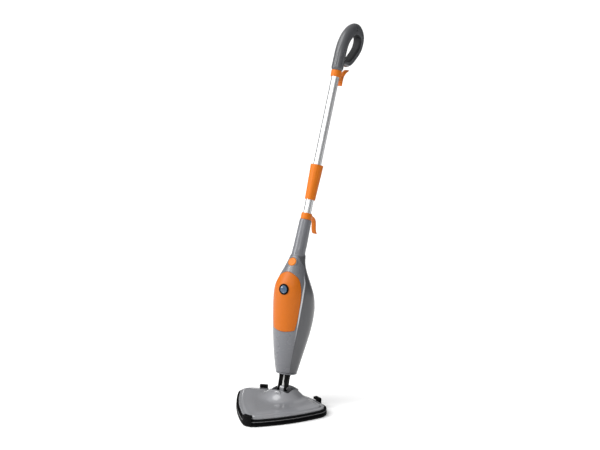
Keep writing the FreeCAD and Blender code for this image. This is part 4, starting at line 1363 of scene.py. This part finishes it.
# node tree: the template stands on every point, along the point's own outward direction
def copyTree(name):
    tree = bpy.data.node_groups.new(name, "GeometryNodeTree")
    tree.is_modifier = True
    sockets = {}
    for label, kind in (("Geometry", "NodeSocketGeometry"), ("Template", "NodeSocketObject"),
                        ("Size", "NodeSocketFloat"), ("Jitter", "NodeSocketFloat"), ("Seed", "NodeSocketInt"),
                        ("Finish", "NodeSocketMaterial")):
        sockets[label] = tree.interface.new_socket(name=label, in_out="INPUT", socket_type=kind).identifier
    tree.interface.new_socket(name="Geometry", in_out="OUTPUT", socket_type="NodeSocketGeometry")
    link = tree.links.new
    given = addNode(tree, "NodeGroupInput")
    template = addNode(tree, "GeometryNodeObjectInfo")
    outward = addNode(tree, "GeometryNodeInputNamedAttribute", data_type="FLOAT_VECTOR")
    outward.inputs["Name"].default_value = "outward"
    aim = addNode(tree, "FunctionNodeAlignRotationToVector", axis="Z")
    spread = addNode(tree, "FunctionNodeRandomValue", data_type="FLOAT")
    least = addNode(tree, "ShaderNodeMath", operation="SUBTRACT")
    copies = addNode(tree, "GeometryNodeInstanceOnPoints")
    solid = addNode(tree, "GeometryNodeRealizeInstances")
    finish = addNode(tree, "GeometryNodeSetMaterial")
    result = addNode(tree, "NodeGroupOutput")
    link(given.outputs["Template"], template.inputs["Object"])
    link(given.outputs["Geometry"], copies.inputs["Points"])
    link(template.outputs["Geometry"], copies.inputs["Instance"])
    link(outward.outputs["Attribute"], aim.inputs["Vector"])
    link(aim.outputs["Rotation"], copies.inputs["Rotation"])
    link(given.outputs["Size"], least.inputs[0])
    link(given.outputs["Jitter"], least.inputs[1])
    link(least.outputs["Value"], spread.inputs[2])
    link(given.outputs["Size"], spread.inputs[3])
    link(given.outputs["Seed"], spread.inputs["Seed"])
    link(spread.outputs[1], copies.inputs["Scale"])
    link(copies.outputs["Instances"], solid.inputs["Geometry"])
    link(solid.outputs["Geometry"], finish.inputs["Geometry"])
    link(given.outputs["Finish"], finish.inputs["Material"])
    link(finish.outputs["Geometry"], result.inputs["Geometry"])
    return tree, sockets


# one mesh of template copies at (place, outward) spots
def copiesOf(name, template, spots, material, body, replaced=(), jitter=0.0):
    mesh = bpy.data.meshes.new(name)
    mesh.from_pydata([tuple(place) for place, outward in spots], [], [])
    facing = mesh.attributes.new("outward", "FLOAT_VECTOR", "POINT")
    facing.data.foreach_set("vector", [c for place, outward in spots for c in outward])
    obj = bpy.data.objects.new(name, mesh)
    bpy.context.scene.collection.objects.link(obj)
    tree, sockets = copyTree(name + "Tree")
    step = obj.modifiers.new(name, "NODES")
    step.node_group = tree
    step[sockets["Template"]] = template
    step[sockets["Size"]] = 1.0
    step[sockets["Jitter"]] = jitter
    step[sockets["Seed"]] = 7
    step[sockets["Finish"]] = material
    finishMesh(obj, 40)
    bpy.data.objects.remove(template)
    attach(obj, body)
    if replaced:
        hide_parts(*replaced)
    return obj


def templateShape(name, verts, faces):
    mesh = bpy.data.meshes.new(name)
    mesh.from_pydata([tuple(v) for v in verts], [], faces)
    shape = bmesh.new()
    shape.from_mesh(mesh)
    bmesh.ops.remove_doubles(shape, verts=shape.verts, dist=0.000005)
    bmesh.ops.recalc_face_normals(shape, faces=shape.faces)
    shape.to_mesh(mesh)
    shape.free()
    obj = bpy.data.objects.new(name, mesh)
    bpy.context.scene.collection.objects.link(obj)
    return obj


# pan-head screw with a cross recess; its head's seat is at height 0
def panScrew(name, headRadius, headHeight, shankRadius, shankLength):
    profile = [(0.01, -shankLength), (shankRadius, -shankLength), (shankRadius, 0), (headRadius * 0.94, 0),
               (headRadius, headHeight * 0.15), (headRadius, headHeight * 0.5), (headRadius * 0.9,
                                                                                 headHeight * 0.8),
               (headRadius * 0.65, headHeight * 0.96), (0.01, headHeight)]
    screw = templateShape(name, *lathe(onHead, profile, around=32))
    arm, wide, deep = headRadius * 0.62, headRadius * 0.13, headHeight * 0.45
    for across, along in ((arm, wide), (wide, arm)):
        cut(screw, *roundedBar(onHead, -across, across, -along, along, headHeight - deep, headHeight + 1))
    return screw


bodyScrewSpots = [(onBody(x, screwSeat(x, z) - 4.4, z), bodyBack) for x, z in bodyScrews["places"]]
copiesOf("bodyScrews", panScrew("bodyScrew", 2.85, 1.5, 1.4, 4.2), bodyScrewSpots, screwSteel, "upright",
         ["body_screws"])
handleScrewSpots = [(onPole(11.05, y, z), sideways) for y, z in handle["bosses"]]
copiesOf("handleScrews", panScrew("handleScrew", 2.65, 1.9, 1.45, 17.5), handleScrewSpots, screwSteel,
         "upright",
         ["handle_screws"])
strips = {"places": [(12, 72, 48, 72), (11, 25, -50, -14)], "low": 8.52, "step": 1.9}
bristle = [(0.42, 0.0), (0.34, 0.5), (0.22, 0.95), (0.36, 1.1), (0.30, 1.3), (0.01, 1.36)]
bristleSpots = []
for x0, x1, y0, y1 in strips["places"]:
    for side in (1, -1):
        for i in range(int((x1 - x0) / strips["step"])):
            for j in range(int((y1 - y0) / strips["step"])):
                shift = 0.5 * strips["step"] * (i % 2)
                bristleSpots.append((onHead(side * (x0 + 1 + i * strips["step"]),
                                            y0 + 0.8 + j * strips["step"] + shift,
                                            strips["low"]), Vector((0, 0, -1))))
copiesOf("stripBristles", templateShape("bristle", *lathe(onHead, bristle, around=6)), bristleSpots,
         stripFabric, "head",
         jitter=0.25)
print("screws and bristles made")

# cord gland: a turned collar of rubber
gland = {"height": 96.0}
glandBack = smoothValue(offsetTable, gland["height"]) + skinRadius(gland["height"])


def onGland(x, y, z):
    return onBody(x, glandBack + z, gland["height"] - y)


glandProfile = [(3.6, -11.0), (6.9, -11.0), (6.9, 0.2), (8.4, 0.5), (9.0, 1.0), (9.0, 2.0), (8.5, 2.6),
                (7.2, 2.8),
                (5.0, 2.8), (3.9, 2.6), (3.6, 2.2)]
makePiece("cordGland", *lathe(onGland, glandProfile, around=72), bumperRubber, "upright", ["cord_gland"],
          "black_rubber")
print("yoke and gland made")
